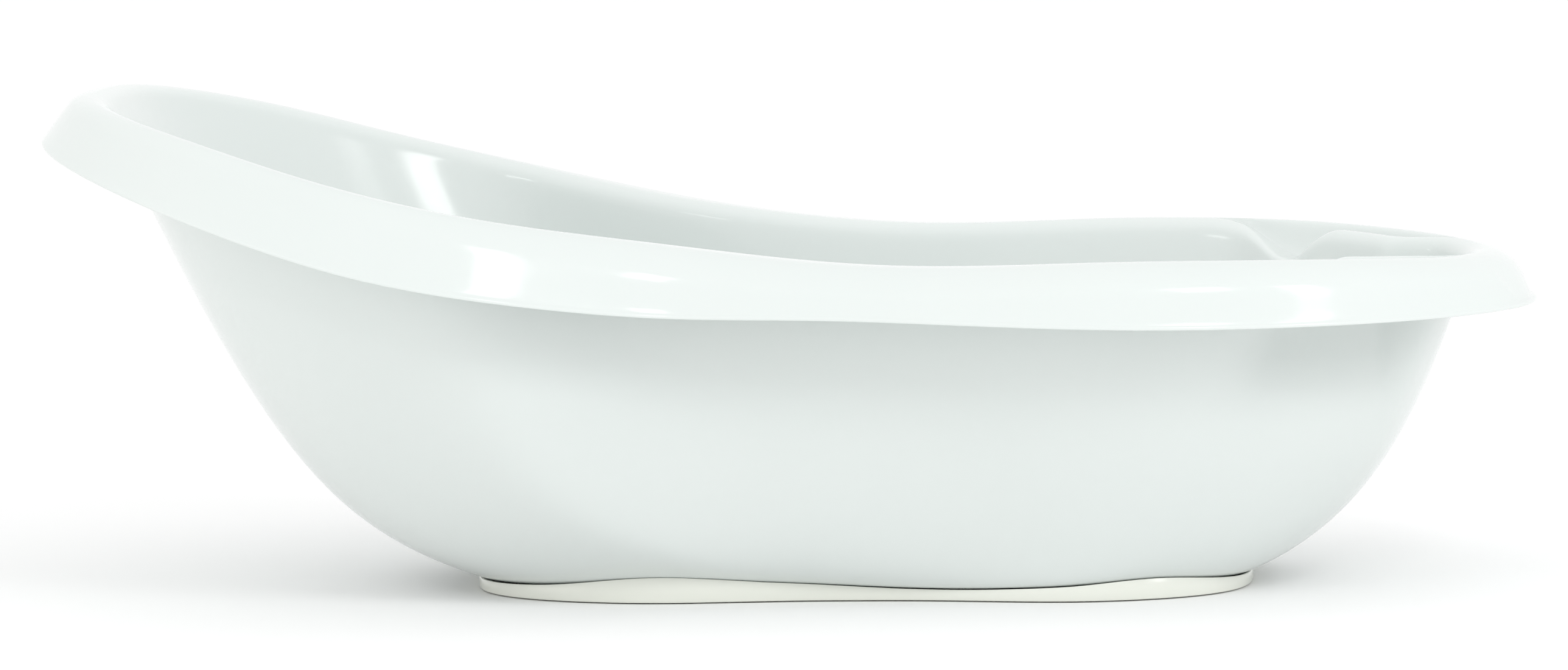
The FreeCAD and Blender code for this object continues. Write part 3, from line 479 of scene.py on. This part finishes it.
# ---- the foot ring ---------------------------------------------------------------------------
# A low wall that carries the tub, with a flange turned in along its bottom, moulded separately in
# a slightly warmer polypropylene. Its tone is also lighter than the tub's: painted light, standing
# for the light from the floor that shines through the thin ring. Its section is swept around the foot,
# and the screw holes are drilled through the flange by a cutter that Geometry Nodes places at each screw.

FOOT_GAP = 0.8
RING_WALL = 3.0
RING_FLANGE = 22.0
RING_STEPS = 240
FLANGE_TOP = FOOT_GAP + RING_WALL
FIXING_INSET = (RING_FLANGE + RING_WALL) / 2
SCREW_HEAD = 6.4
SCREW_HEAD_HIGH = 1.4
SCREW_LONG = 6.4
SCREW_SHANK = 2.8
FIT_GAP = 0.3
HEAD_SINK = 0.2
HEAD_TOP = FOOT_GAP + SCREW_HEAD_HIGH + HEAD_SINK
FIXINGS = 6
SEAM_GAP = 0.15
SEAM_EDGE = 0.35
SEAM_MIDDLE = 1.6
FILLET = 2.0
FLANGE_EDGE = 0.6
BEYOND = 1.0


def under_floor(u, distance):
    """Height of the underside of the floor, a distance inside the foot ring."""
    edge = through(FOOT_SEAM, foot(u)[0]) + BASE_LIFT - WALL
    return FLOOR_CLEAR + (edge - FLOOR_CLEAR) * (1.0 - distance / FLOOR_INSET) ** 2


def ring_section(u):
    """(distance in, height) around the ring's section: rounded edges and a filleted corner."""
    seam = [(d, under_floor(u, d) - SEAM_GAP) for d in (SEAM_EDGE, SEAM_MIDDLE, RING_WALL)]
    fillet = [(RING_WALL + FILLET * (1.0 - math.cos(a)), FLANGE_TOP + FILLET * (1.0 - math.sin(a)))
              for a in (math.pi / 8 * i for i in range(5))]
    flange = [(RING_FLANGE - FLANGE_EDGE, FLANGE_TOP), (RING_FLANGE, FLANGE_TOP - FLANGE_EDGE),
              (RING_FLANGE, FOOT_GAP + FLANGE_EDGE), (RING_FLANGE - FLANGE_EDGE, FOOT_GAP)]
    outer = [(0.8, FOOT_GAP), (0.25, FOOT_GAP + 0.25), (0.0, FOOT_GAP + 0.8), (0.0, seam[0][1] - 0.4)]
    return seam + fillet + flange + outer


def places_around_foot(first_degrees):
    """Six plan places on the middle of the ring's flange."""
    turns = [math.radians(first_degrees + 360.0 / FIXINGS * i) for i in range(FIXINGS)]
    return [inset(foot, u, FIXING_INSET) for u in turns]


def lathe(name, profile, steps, centre):
    """Mesh of a profile of (radius, height) points turned about an upright axis."""
    angles = [2 * math.pi * i / steps for i in range(steps)]
    grid = np.array([[(centre[0] + r * math.cos(a), centre[1] + r * math.sin(a), z) for r, z in profile]
                     for a in angles])
    mesh = grid_mesh(name, grid, profile[0][0] > 0)
    return tidied(mesh)


def tidied(mesh):
    """Merge points that meet at a pole and turn every face outward."""
    work = bmesh.new()
    work.from_mesh(mesh)
    bmesh.ops.remove_doubles(work, verts=work.verts, dist=1e-7)
    bmesh.ops.recalc_face_normals(work, faces=work.faces)
    work.to_mesh(mesh)
    work.free()
    return mesh


def repeating_tree(name, material):
    """Geometry Nodes: put a piece at each point of the host, real geometry, one material."""
    tree = bpy.data.node_groups.new(name, "GeometryNodeTree")
    tree.interface.new_socket("Geometry", in_out="INPUT", socket_type="NodeSocketGeometry")
    piece = tree.interface.new_socket("Piece", in_out="INPUT", socket_type="NodeSocketObject")
    size = tree.interface.new_socket("Size", in_out="INPUT", socket_type="NodeSocketFloat")
    tree.interface.new_socket("Geometry", in_out="OUTPUT", socket_type="NodeSocketGeometry")
    given = add_node(tree, "NodeGroupInput")
    one = add_node(tree, "GeometryNodeObjectInfo", inputs={"Object": given.outputs["Piece"]})
    points = add_node(tree, "GeometryNodeMeshToPoints", inputs={"Mesh": given.outputs["Geometry"]})
    copies = add_node(tree, "GeometryNodeInstanceOnPoints", inputs={
        "Points": points.outputs["Points"], "Instance": one.outputs["Geometry"],
        "Scale": given.outputs["Size"]})
    real = add_node(tree, "GeometryNodeRealizeInstances", inputs={"Geometry": copies.outputs["Instances"]})
    dressed = add_node(tree, "GeometryNodeSetMaterial", inputs={
        "Geometry": real.outputs["Geometry"], "Material": material})
    add_node(tree, "NodeGroupOutput", inputs={"Geometry": dressed.outputs["Geometry"]})
    return tree, piece.identifier, size.identifier


def repeated(name, mesh, places, material):
    """Plain mesh of a piece, drawn about the origin, repeated at plan places."""
    pattern = bpy.data.objects.new(name + "_pattern", mesh)
    points = bpy.data.meshes.new(name + "_places")
    points.from_pydata([(x * MM, y * MM, 0.0) for x, y in places], [], [])
    host = bpy.data.objects.new(name + "_host", points)
    for made in (pattern, host):
        bpy.context.scene.collection.objects.link(made)
    tree, piece_input, size_input = repeating_tree(name + "_nodes", material)
    modifier = host.modifiers.new("repeat", "NODES")
    modifier.node_group = tree
    modifier[piece_input] = pattern
    modifier[size_input] = 1.0
    depsgraph = bpy.context.evaluated_depsgraph_get()
    result = bpy.data.meshes.new_from_object(host.evaluated_get(depsgraph))
    bpy.data.objects.remove(host)
    bpy.data.objects.remove(pattern)
    result.name = name
    return result


def cut_away(mesh, cutter):
    """The mesh with the cutter's volume taken out of it."""
    body = bpy.data.objects.new("being_cut", mesh)
    tool = bpy.data.objects.new("cutter", cutter)
    for made in (body, tool):
        bpy.context.scene.collection.objects.link(made)
    modifier = body.modifiers.new("cut", "BOOLEAN")
    modifier.operation = "DIFFERENCE"
    modifier.solver = "EXACT"
    modifier.object = tool
    depsgraph = bpy.context.evaluated_depsgraph_get()
    result = bpy.data.meshes.new_from_object(body.evaluated_get(depsgraph))
    bpy.data.objects.remove(body)
    bpy.data.objects.remove(tool)
    return result


# The ring's tint is warmer than the tub's, and lighter too: the extra lightness is painted light, for light
# from the floor shining through the ring.
RING_PLASTIC_WITH_PAINTED_LIGHT = moulded_polypropylene("warm_white_polypropylene_with_painted_light", "#E8EAE2", "#E4E7DE",
                                     0.16, 30.0, 5.0)
SCREW_PLACES = places_around_foot(0.0)
ring_grid = np.array([[(*inset(foot, 2 * math.pi * i / RING_STEPS, d), z)
                       for d, z in ring_section(2 * math.pi * i / RING_STEPS)] for i in range(RING_STEPS)])
wide, narrow = SCREW_HEAD / 2 + FIT_GAP, SCREW_SHANK / 2 + FIT_GAP
below, above = FOOT_GAP - BEYOND, FLANGE_TOP + BEYOND
hole_profile = [(0, below), (wide, below), (wide, HEAD_TOP), (narrow, HEAD_TOP), (narrow, above), (0, above)]
one_hole = lathe("screw_hole", hole_profile, 32, (0, 0))
hole_cutter = repeated("screw_hole", one_hole, SCREW_PLACES, RING_PLASTIC_WITH_PAINTED_LIGHT)
ring_mesh = cut_away(tidied(grid_mesh("foot_ring_swept", ring_grid, True)), hole_cutter)
added("foot_ring_moulding", ring_mesh, RING_PLASTIC_WITH_PAINTED_LIGHT, "tub", "ring_plastic", "foot_ring")


# ---- the non-slip pads -----------------------------------------------------------------------
# Six thin discs of light grey rubber, each with a stem pushed up through the ring's flange.

PAD_RADIUS = 8.0
PAD_STEM_RADIUS = 2.5
PAD_STEM_TOP = 5.4


# Moulded thermoplastic rubber: matt, with a fine grain, drawn coarser than it is.
def soft_rubber(name, tint, shade, grain_mm):
    material, tree = new_material(name)
    place = add_node(tree, "ShaderNodeTexCoord").outputs["Object"]
    grain = add_node(tree, "ShaderNodeTexNoise", inputs={
        "Vector": place, "Scale": 1.0 / (grain_mm * MM), "Detail": 3.0})
    colour = add_node(tree, "ShaderNodeMix", {"data_type": "RGBA"},
                      {"Factor": grain.outputs["Fac"], "A": linear(tint), "B": linear(shade)})
    bump = add_node(tree, "ShaderNodeBump", inputs={
        "Height": grain.outputs["Fac"], "Strength": 0.25, "Distance": 0.1 * MM})
    skin = add_node(tree, "ShaderNodeBsdfPrincipled", inputs={
        "Base Color": colour.outputs["Result"], "Roughness": 0.62, "Normal": bump.outputs["Normal"]})
    add_node(tree, "ShaderNodeOutputMaterial", inputs={"Surface": skin.outputs["BSDF"]})
    return material


PAD_RUBBER = soft_rubber("light_grey_rubber", "#DADCD7", "#CFD2CD", 0.8)
pad_profile = [(0, 0), (PAD_RADIUS - 0.3, 0), (PAD_RADIUS, 0.15), (PAD_RADIUS, FOOT_GAP - 0.2),
               (PAD_RADIUS - 0.2, FOOT_GAP - 0.02), (PAD_STEM_RADIUS, FOOT_GAP - 0.02),
               (PAD_STEM_RADIUS, PAD_STEM_TOP - 0.6), (PAD_STEM_RADIUS - 0.6, PAD_STEM_TOP),
               (0, PAD_STEM_TOP)]
pads_mesh = repeated("pads", lathe("pad", pad_profile, 48, (0, 0)), places_around_foot(30.0), PAD_RUBBER)
pad_nodes = [f"foot_pad_{i}" for i in range(1, FIXINGS + 1)]
added("foot_pads", pads_mesh, PAD_RUBBER, "tub", "pad_rubber", *pad_nodes)


# ---- the ring screws -------------------------------------------------------------------------
# Six self-tapping pan-head screws in zinc-plated steel, driven up through the flange into the
# bosses. The thread is a real helix and the cross recess is cut into the head.

THREAD_PITCH = 0.9
THREAD_DEEP = 0.28
THREAD_ROWS = 34
SCREW_STEPS = 32
RECESS_HALF_WIDE = 0.42
RECESS_HALF_LONG = 1.7
RECESS_TAPER = 0.7
RECESS_BELOW = 0.5
RECESS_TALL = 1.4
SCREW_TOP = HEAD_TOP + SCREW_LONG - SCREW_HEAD_HIGH


def threaded_screw():
    """Pan head below, threaded shank above, about the origin in plan."""
    low = HEAD_TOP - SCREW_HEAD_HIGH
    head = [(0, low), (1.9, low + 0.05), (2.7, low + 0.3), (3.1, low + 0.75), (3.2, low + 1.1),
            (3.15, HEAD_TOP), (1.4, HEAD_TOP)]
    columns = []
    for i in range(SCREW_STEPS):
        turned = i / SCREW_STEPS
        shank = []
        for j in range(THREAD_ROWS + 1):
            z = HEAD_TOP + 0.1 + (SCREW_TOP - HEAD_TOP - 0.5) * j / THREAD_ROWS
            phase = ((z - HEAD_TOP) / THREAD_PITCH - turned) % 1.0
            shank.append((SCREW_SHANK / 2 - THREAD_DEEP * abs(2 * phase - 1), z))
        columns.append([(r * math.cos(2 * math.pi * turned), r * math.sin(2 * math.pi * turned), z)
                        for r, z in head + shank + [(0, SCREW_TOP)]])
    return tidied(grid_mesh("screw", np.array(columns), False))


def cross_cutter():
    """Two crossed tapered bars, for the recess in the head."""
    work = bmesh.new()
    low = HEAD_TOP - SCREW_HEAD_HIGH
    bars = (RECESS_HALF_WIDE, RECESS_HALF_LONG), (RECESS_HALF_LONG, RECESS_HALF_WIDE)
    for across, along in bars:
        bar = bmesh.ops.create_cube(work, size=1.0)["verts"]
        for vert in bar:
            taper = RECESS_TAPER if vert.co.z > 0 else 1.0
            vert.co = Vector((vert.co.x * 2 * across * taper, vert.co.y * 2 * along * taper,
                              low - RECESS_BELOW + RECESS_TALL * (vert.co.z + 0.5))) * MM
    mesh = bpy.data.meshes.new("cross")
    work.to_mesh(mesh)
    work.free()
    return mesh


DULL_MM = 1.5


# Zinc-plated steel: a grey metal that has dulled unevenly.
def plated_steel(name):
    material, tree = new_material(name)
    place = add_node(tree, "ShaderNodeTexCoord").outputs["Object"]
    dull = add_node(tree, "ShaderNodeTexNoise", inputs={
        "Vector": place, "Scale": 1.0 / (DULL_MM * MM), "Detail": 3.0})
    gloss = add_node(tree, "ShaderNodeMapRange", inputs={
        "Value": dull.outputs["Fac"], "To Min": 0.22, "To Max": 0.5})
    colour = add_node(tree, "ShaderNodeMix", {"data_type": "RGBA"},
                      {"Factor": dull.outputs["Fac"], "A": linear("#C6C8CA"), "B": linear("#AEB1B4")})
    skin = add_node(tree, "ShaderNodeBsdfPrincipled", inputs={
        "Base Color": colour.outputs["Result"], "Metallic": 1.0, "Roughness": gloss.outputs["Result"]})
    add_node(tree, "ShaderNodeOutputMaterial", inputs={"Surface": skin.outputs["BSDF"]})
    return material


SCREW_STEEL = plated_steel("zinc_plated_steel")
screw_mesh = cut_away(threaded_screw(), cross_cutter())
added("pan_head_screws", repeated("screws", screw_mesh, SCREW_PLACES, SCREW_STEEL), SCREW_STEEL, "tub",
      "screw_steel", "ring_screws")


# ---- the drain seat, its gasket and its lock nut ---------------------------------------------
# A flanged tube pushed down through the floor, sealed by a rubber ring and held by a six-sided
# nut from below. The seat and the nut are moulded, with rounded edges; the tube's thread is drawn
# as plain ribs.

BORE = 12.0
SEAT_WALL = 3.0
SEAT_BOTTOM = 1.2
FLOOR_TOP = FLOOR_CLEAR + WALL
SEAT_FLANGE = 23.0
SEAT_FLANGE_HIGH = 2.0
GASKET = 21.0
GASKET_HIGH = 1.2
NUT_FLATS = 20.0
NUT_HIGH = 3.6
NUT_CORNER = 1.13
NUT_BEVEL = 1.03
NUT_STEPS = 144
SEAT_STEPS = 128
DRAIN = (DRAIN_X, 0.0)

DRAIN_PLASTIC = moulded_polypropylene("drain_polypropylene", "#E9ECEA", "#E4E8E6", 0.2, 12.0, 2.0)
SEAL_RUBBER = soft_rubber("dark_grey_rubber", "#4A4C4E", "#404244", 0.6)
tube = BORE + SEAT_WALL
seat_thread = [(tube - 0.35 * (i % 2), SEAT_BOTTOM + 0.5 + 0.3 * i) for i in range(1, 14)]
seat_top = FLOOR_TOP + SEAT_FLANGE_HIGH
seat_end = [(BORE, SEAT_BOTTOM + 0.4), (BORE + 0.4, SEAT_BOTTOM), (tube - 0.4, SEAT_BOTTOM)]
seat_brim = [(tube, FLOOR_TOP), (SEAT_FLANGE - 0.2, FLOOR_TOP), (SEAT_FLANGE, FLOOR_TOP + 0.25),
             (SEAT_FLANGE - 0.1, FLOOR_TOP + 0.9), (SEAT_FLANGE - 0.8, seat_top - 0.35),
             (SEAT_FLANGE - 2.2, seat_top), (BORE + 1.0, seat_top), (BORE + 0.3, seat_top - 0.3),
             (BORE, seat_top - 1.0)]
seat_profile = seat_end + seat_thread + seat_brim
seat_mesh = lathe("drain_seat_moulding", seat_profile, SEAT_STEPS, DRAIN)
added("drain_seat_moulding", seat_mesh, DRAIN_PLASTIC, "tub", "drain_plastic", "drain_seat")

gasket_hole = BORE + SEAT_WALL + FIT_GAP
gasket_low = FLOOR_CLEAR - GASKET_HIGH
gasket_profile = [
    (gasket_hole, gasket_low + 0.2), (gasket_hole + 0.2, gasket_low), (GASKET - 0.2, gasket_low),
    (GASKET, gasket_low + 0.2), (GASKET, FLOOR_CLEAR - 0.2), (GASKET - 0.2, FLOOR_CLEAR),
    (gasket_hole + 0.2, FLOOR_CLEAR), (gasket_hole, FLOOR_CLEAR - 0.2)]
added("drain_gasket", lathe("drain_gasket", gasket_profile, 96, DRAIN), SEAL_RUBBER, "tub", "seal_rubber",
      "seat_gasket")


def nut_column(angle):
    """(radius, height) around the nut's section at one angle, its corners chamfered top and bottom."""
    low = FLOOR_CLEAR - GASKET_HIGH - NUT_HIGH
    flat = NUT_FLATS / math.cos((angle + math.pi / 6) % (math.pi / 3) - math.pi / 6)
    flat = min(flat, NUT_FLATS * NUT_CORNER)
    bevelled = min(flat, NUT_FLATS * NUT_BEVEL)
    high, inner = low + NUT_HIGH, BORE + SEAT_WALL + 0.1
    return [(inner + 0.4, low), (bevelled - 0.4, low), (bevelled, low + 0.3), (flat, low + 0.9),
            (flat, high - 0.9), (bevelled, high - 0.3), (bevelled - 0.4, high), (inner + 0.4, high),
            (inner, high - 0.4), (inner, low + 0.4)]


nut_grid = np.array([[(DRAIN_X + r * math.cos(a), r * math.sin(a), z) for r, z in nut_column(a + math.pi / 6)]
                     for a in (2 * math.pi * i / NUT_STEPS for i in range(NUT_STEPS))])
added("drain_lock_nut", tidied(grid_mesh("drain_lock_nut", nut_grid, True)), DRAIN_PLASTIC, "tub",
      "drain_plastic", "seat_lock_nut")


# ---- the drain plug, its seal and its pull ring ----------------------------------------------
# A push-in plug with a thin flange and a groove for a round seal, and a lug on top whose eye
# takes a folding pull ring. The lug is drawn around its eye; the ring shows its parting line.

PLUG_STEM = BORE - 0.4
PLUG_FLANGE = 17.0
PLUG_FLANGE_HIGH = 2.5
PLUG_LONG = 9.0
PLUG_LOW = seat_top - PLUG_LONG
SEAL_SECTION = 1.3
SEAL_RING = BORE - 0.05 - SEAL_SECTION
SEAL_Z = PLUG_LOW + 4.0
EYE_RADIUS = 1.8
EYE_Z = seat_top + PLUG_FLANGE_HIGH + 1.3 * EYE_RADIUS
SEAL_PARTING = 0.03
PULL_RADIUS = 10.0
PULL_SECTION = 1.3
PULL_PARTING = 0.07
LUG_HALF_LONG = 3.5
LUG_HALF_THICK = 1.5
LUG_SQUARENESS = 5
LUG_STEPS = 64
LUG_TOP = seat_top + PLUG_FLANGE_HIGH + 4 * EYE_RADIUS - 1.0

PLUG_PLASTIC = moulded_polypropylene("plug_polypropylene", "#EEF1EE", "#E9ECE9", 0.18, 10.0, 2.0)
groove_low, groove_high = SEAL_Z - 1.1 * SEAL_SECTION, SEAL_Z + 1.1 * SEAL_SECTION
groove = BORE - 0.05 - 2 * SEAL_SECTION
plug_top = seat_top + PLUG_FLANGE_HIGH
plug_profile = [(0, PLUG_LOW + 0.6), (8.0, PLUG_LOW + 0.6), (9.0, PLUG_LOW), (PLUG_STEM - 1, PLUG_LOW),
                (PLUG_STEM - 0.3, PLUG_LOW + 0.3), (PLUG_STEM, PLUG_LOW + 1), (PLUG_STEM, groove_low),
                (groove, groove_low), (groove, groove_high), (PLUG_STEM, groove_high), (PLUG_STEM, seat_top),
                (PLUG_FLANGE - 0.2, seat_top), (PLUG_FLANGE, seat_top + 0.3),
                (PLUG_FLANGE - 0.1, seat_top + 1.0), (PLUG_FLANGE - 1.0, plug_top - 0.4),
                (PLUG_FLANGE - 2.5, plug_top), (13.0, plug_top), (12.4, plug_top - 0.35),
                (5.5, plug_top - 0.35), (4.9, plug_top), (0, plug_top)]


def lug_mesh():
    """Lug with an eye: rings run out over one face, over the rounded edge and back over the other."""
    columns = []
    for a in (2 * math.pi * i / LUG_STEPS for i in range(LUG_STEPS)):
        c, s = math.cos(a), math.sin(a)
        tall = LUG_TOP - EYE_Z if s > 0 else EYE_Z - plug_top + 0.5
        edge = ((abs(c) / LUG_HALF_LONG) ** LUG_SQUARENESS + (abs(s) / tall) ** LUG_SQUARENESS)
        edge = edge ** (-1 / LUG_SQUARENESS)
        face = LUG_HALF_THICK
        section = [(EYE_RADIUS + 0.3, -face), (edge - 0.4, -face), (edge, -face + 0.4),
                   (edge, face - 0.4), (edge - 0.4, face), (EYE_RADIUS + 0.3, face),
                   (EYE_RADIUS, face - 0.3), (EYE_RADIUS, 0.3 - face)]
        columns.append([(DRAIN_X + r * c, y, EYE_Z + r * s) for r, y in section])
    return tidied(grid_mesh("lug", np.array(columns), True))


def joined(name, *meshes):
    """One mesh of several."""
    work = bmesh.new()
    for mesh in meshes:
        work.from_mesh(mesh)
    whole = bpy.data.meshes.new(name)
    work.to_mesh(whole)
    work.free()
    return whole


RING_TURNS = 96
RING_SIDES = 32
PARTING_SHARPNESS = 24


def round_ring(name, centre, radius, section, parting):
    """Ring of round section that stands proud by the parting line along its outside and inside."""
    grid = np.empty((RING_TURNS, RING_SIDES, 3))
    for i in range(RING_TURNS):
        a = 2 * math.pi * i / RING_TURNS
        for j in range(RING_SIDES):
            b = 2 * math.pi * j / RING_SIDES
            r = section - parting * (1.0 - abs(math.cos(b)) ** PARTING_SHARPNESS)
            out = radius + r * math.cos(b)
            grid[i, j] = (centre[0] + out * math.cos(a), centre[1] + out * math.sin(a),
                          centre[2] + r * math.sin(b))
    return tidied(grid_mesh(name, grid, True))


plug_body = lathe("plug_body", plug_profile, 96, DRAIN)
added("drain_plug_moulding", joined("drain_plug_moulding", plug_body, lug_mesh()), PLUG_PLASTIC, "plug",
      "plug_plastic", "drain_plug")
seal_mesh = round_ring("plug_seal_ring", (DRAIN_X, 0, SEAL_Z), SEAL_RING, SEAL_SECTION, SEAL_PARTING)
added("plug_seal_ring", seal_mesh, SEAL_RUBBER, "plug", "seal_rubber", "plug_seal")
pull_centre = (DRAIN_X - PULL_RADIUS, 0, EYE_Z)
pull_mesh = round_ring("plug_pull_ring", pull_centre, PULL_RADIUS, PULL_SECTION, PULL_PARTING)
added("plug_pull_ring", pull_mesh, PLUG_PLASTIC, "pull_ring", "plug_plastic", "pull_ring")


# ---- studio ----------------------------------------------------------------------------------
# A pale floor that runs out of sight, a bright even room, two windows and a strip light whose
# reflections show in the gloss, and a warm wall light at the head end.

CAMERA_PLACE = Vector((0.27093, -3.99041, 0.50877))
CAMERA_AIM = Vector((-0.00583, 0.0, 0.149))
CAMERA_ROLL = math.radians(-0.768)
CAMERA_LENS = 151.47
FLOOR_HALF = 30.0


def studio_camera():
    ahead = (CAMERA_AIM - CAMERA_PLACE).normalized()
    level = ahead.cross(Vector((0, 0, 1))).normalized()
    upright = level.cross(ahead)
    right = level * math.cos(CAMERA_ROLL) + upright * math.sin(CAMERA_ROLL)
    above = upright * math.cos(CAMERA_ROLL) - level * math.sin(CAMERA_ROLL)
    data = bpy.data.cameras.new("camera")
    data.lens = CAMERA_LENS
    data.sensor_width = 36.0
    data.clip_end = 100.0
    camera = bpy.data.objects.new("camera", data)
    camera.matrix_world = Matrix((right, above, -ahead)).transposed().to_4x4()
    camera.location = CAMERA_PLACE
    bpy.context.scene.collection.objects.link(camera)
    bpy.context.scene.camera = camera


def pale_floor():
    mesh = bpy.data.meshes.new("floor")
    h = FLOOR_HALF
    mesh.from_pydata([(-h, -h, 0), (h, -h, 0), (h, h, 0), (-h, h, 0)], [], [(0, 1, 2, 3)])
    floor = bpy.data.objects.new("floor", mesh)
    bpy.context.scene.collection.objects.link(floor)
    material, tree = new_material("pale_painted_floor")
    place = add_node(tree, "ShaderNodeTexCoord").outputs["Object"]
    cloud = add_node(tree, "ShaderNodeTexNoise", inputs={"Vector": place, "Scale": 0.7, "Detail": 1.0})
    paint = add_node(tree, "ShaderNodeMix", {"data_type": "RGBA"},
                     {"Factor": cloud.outputs["Fac"], "A": linear("#FDFDFD"), "B": linear("#FBFBFB")})
    skin = add_node(tree, "ShaderNodeBsdfPrincipled", inputs={
        "Base Color": paint.outputs["Result"], "Roughness": 0.9, "Specular IOR Level": 0.1})
    add_node(tree, "ShaderNodeOutputMaterial", inputs={"Surface": skin.outputs["BSDF"]})
    mesh.materials.append(material)


def panel_light(name, place, aim, size, power, colour):
    data = bpy.data.lights.new(name, "AREA")
    data.shape = "RECTANGLE"
    data.size, data.size_y = size
    data.energy = power
    data.color = linear(colour)[:3]
    light = bpy.data.objects.new(name, data)
    light.location = place
    light.rotation_euler = (Vector(aim) - Vector(place)).to_track_quat("-Z", "Y").to_euler()
    bpy.context.scene.collection.objects.link(light)


def bright_room():
    world = bpy.data.worlds.new("bright_room")
    bpy.context.scene.world = world
    world.use_nodes = True
    world.node_tree.nodes.clear()
    tree = world.node_tree
    room = add_node(tree, "ShaderNodeBackground", inputs={"Color": linear("#FFFFFF"), "Strength": 1.04})
    add_node(tree, "ShaderNodeOutputWorld", inputs={"Surface": room.outputs["Background"]})


studio_camera()
pale_floor()
bright_room()
panel_light("right_window", (0.99, -1.85, 1.67), (-0.25, 0.2, 0.23), (0.42, 0.6), 6.0, "#FFFFFF")
panel_light("far_right_window", (2.17, -1.74, 1.58), (0.31, -0.18, 0.18), (0.4, 1.1), 9.0, "#FFFFFF")
panel_light("left_strip", (-1.25, -2.0, 1.65), (0.22, 0.17, 0.19), (0.8, 0.12), 2.0, "#FFFFFF")
panel_light("warm_wall", (-2.5, -1.5, 0.5), (0.0, 0.0, 0.12), (1.5, 0.8), 4.5, "#FFF6EC")
bpy.context.scene.view_settings.view_transform = "Standard"
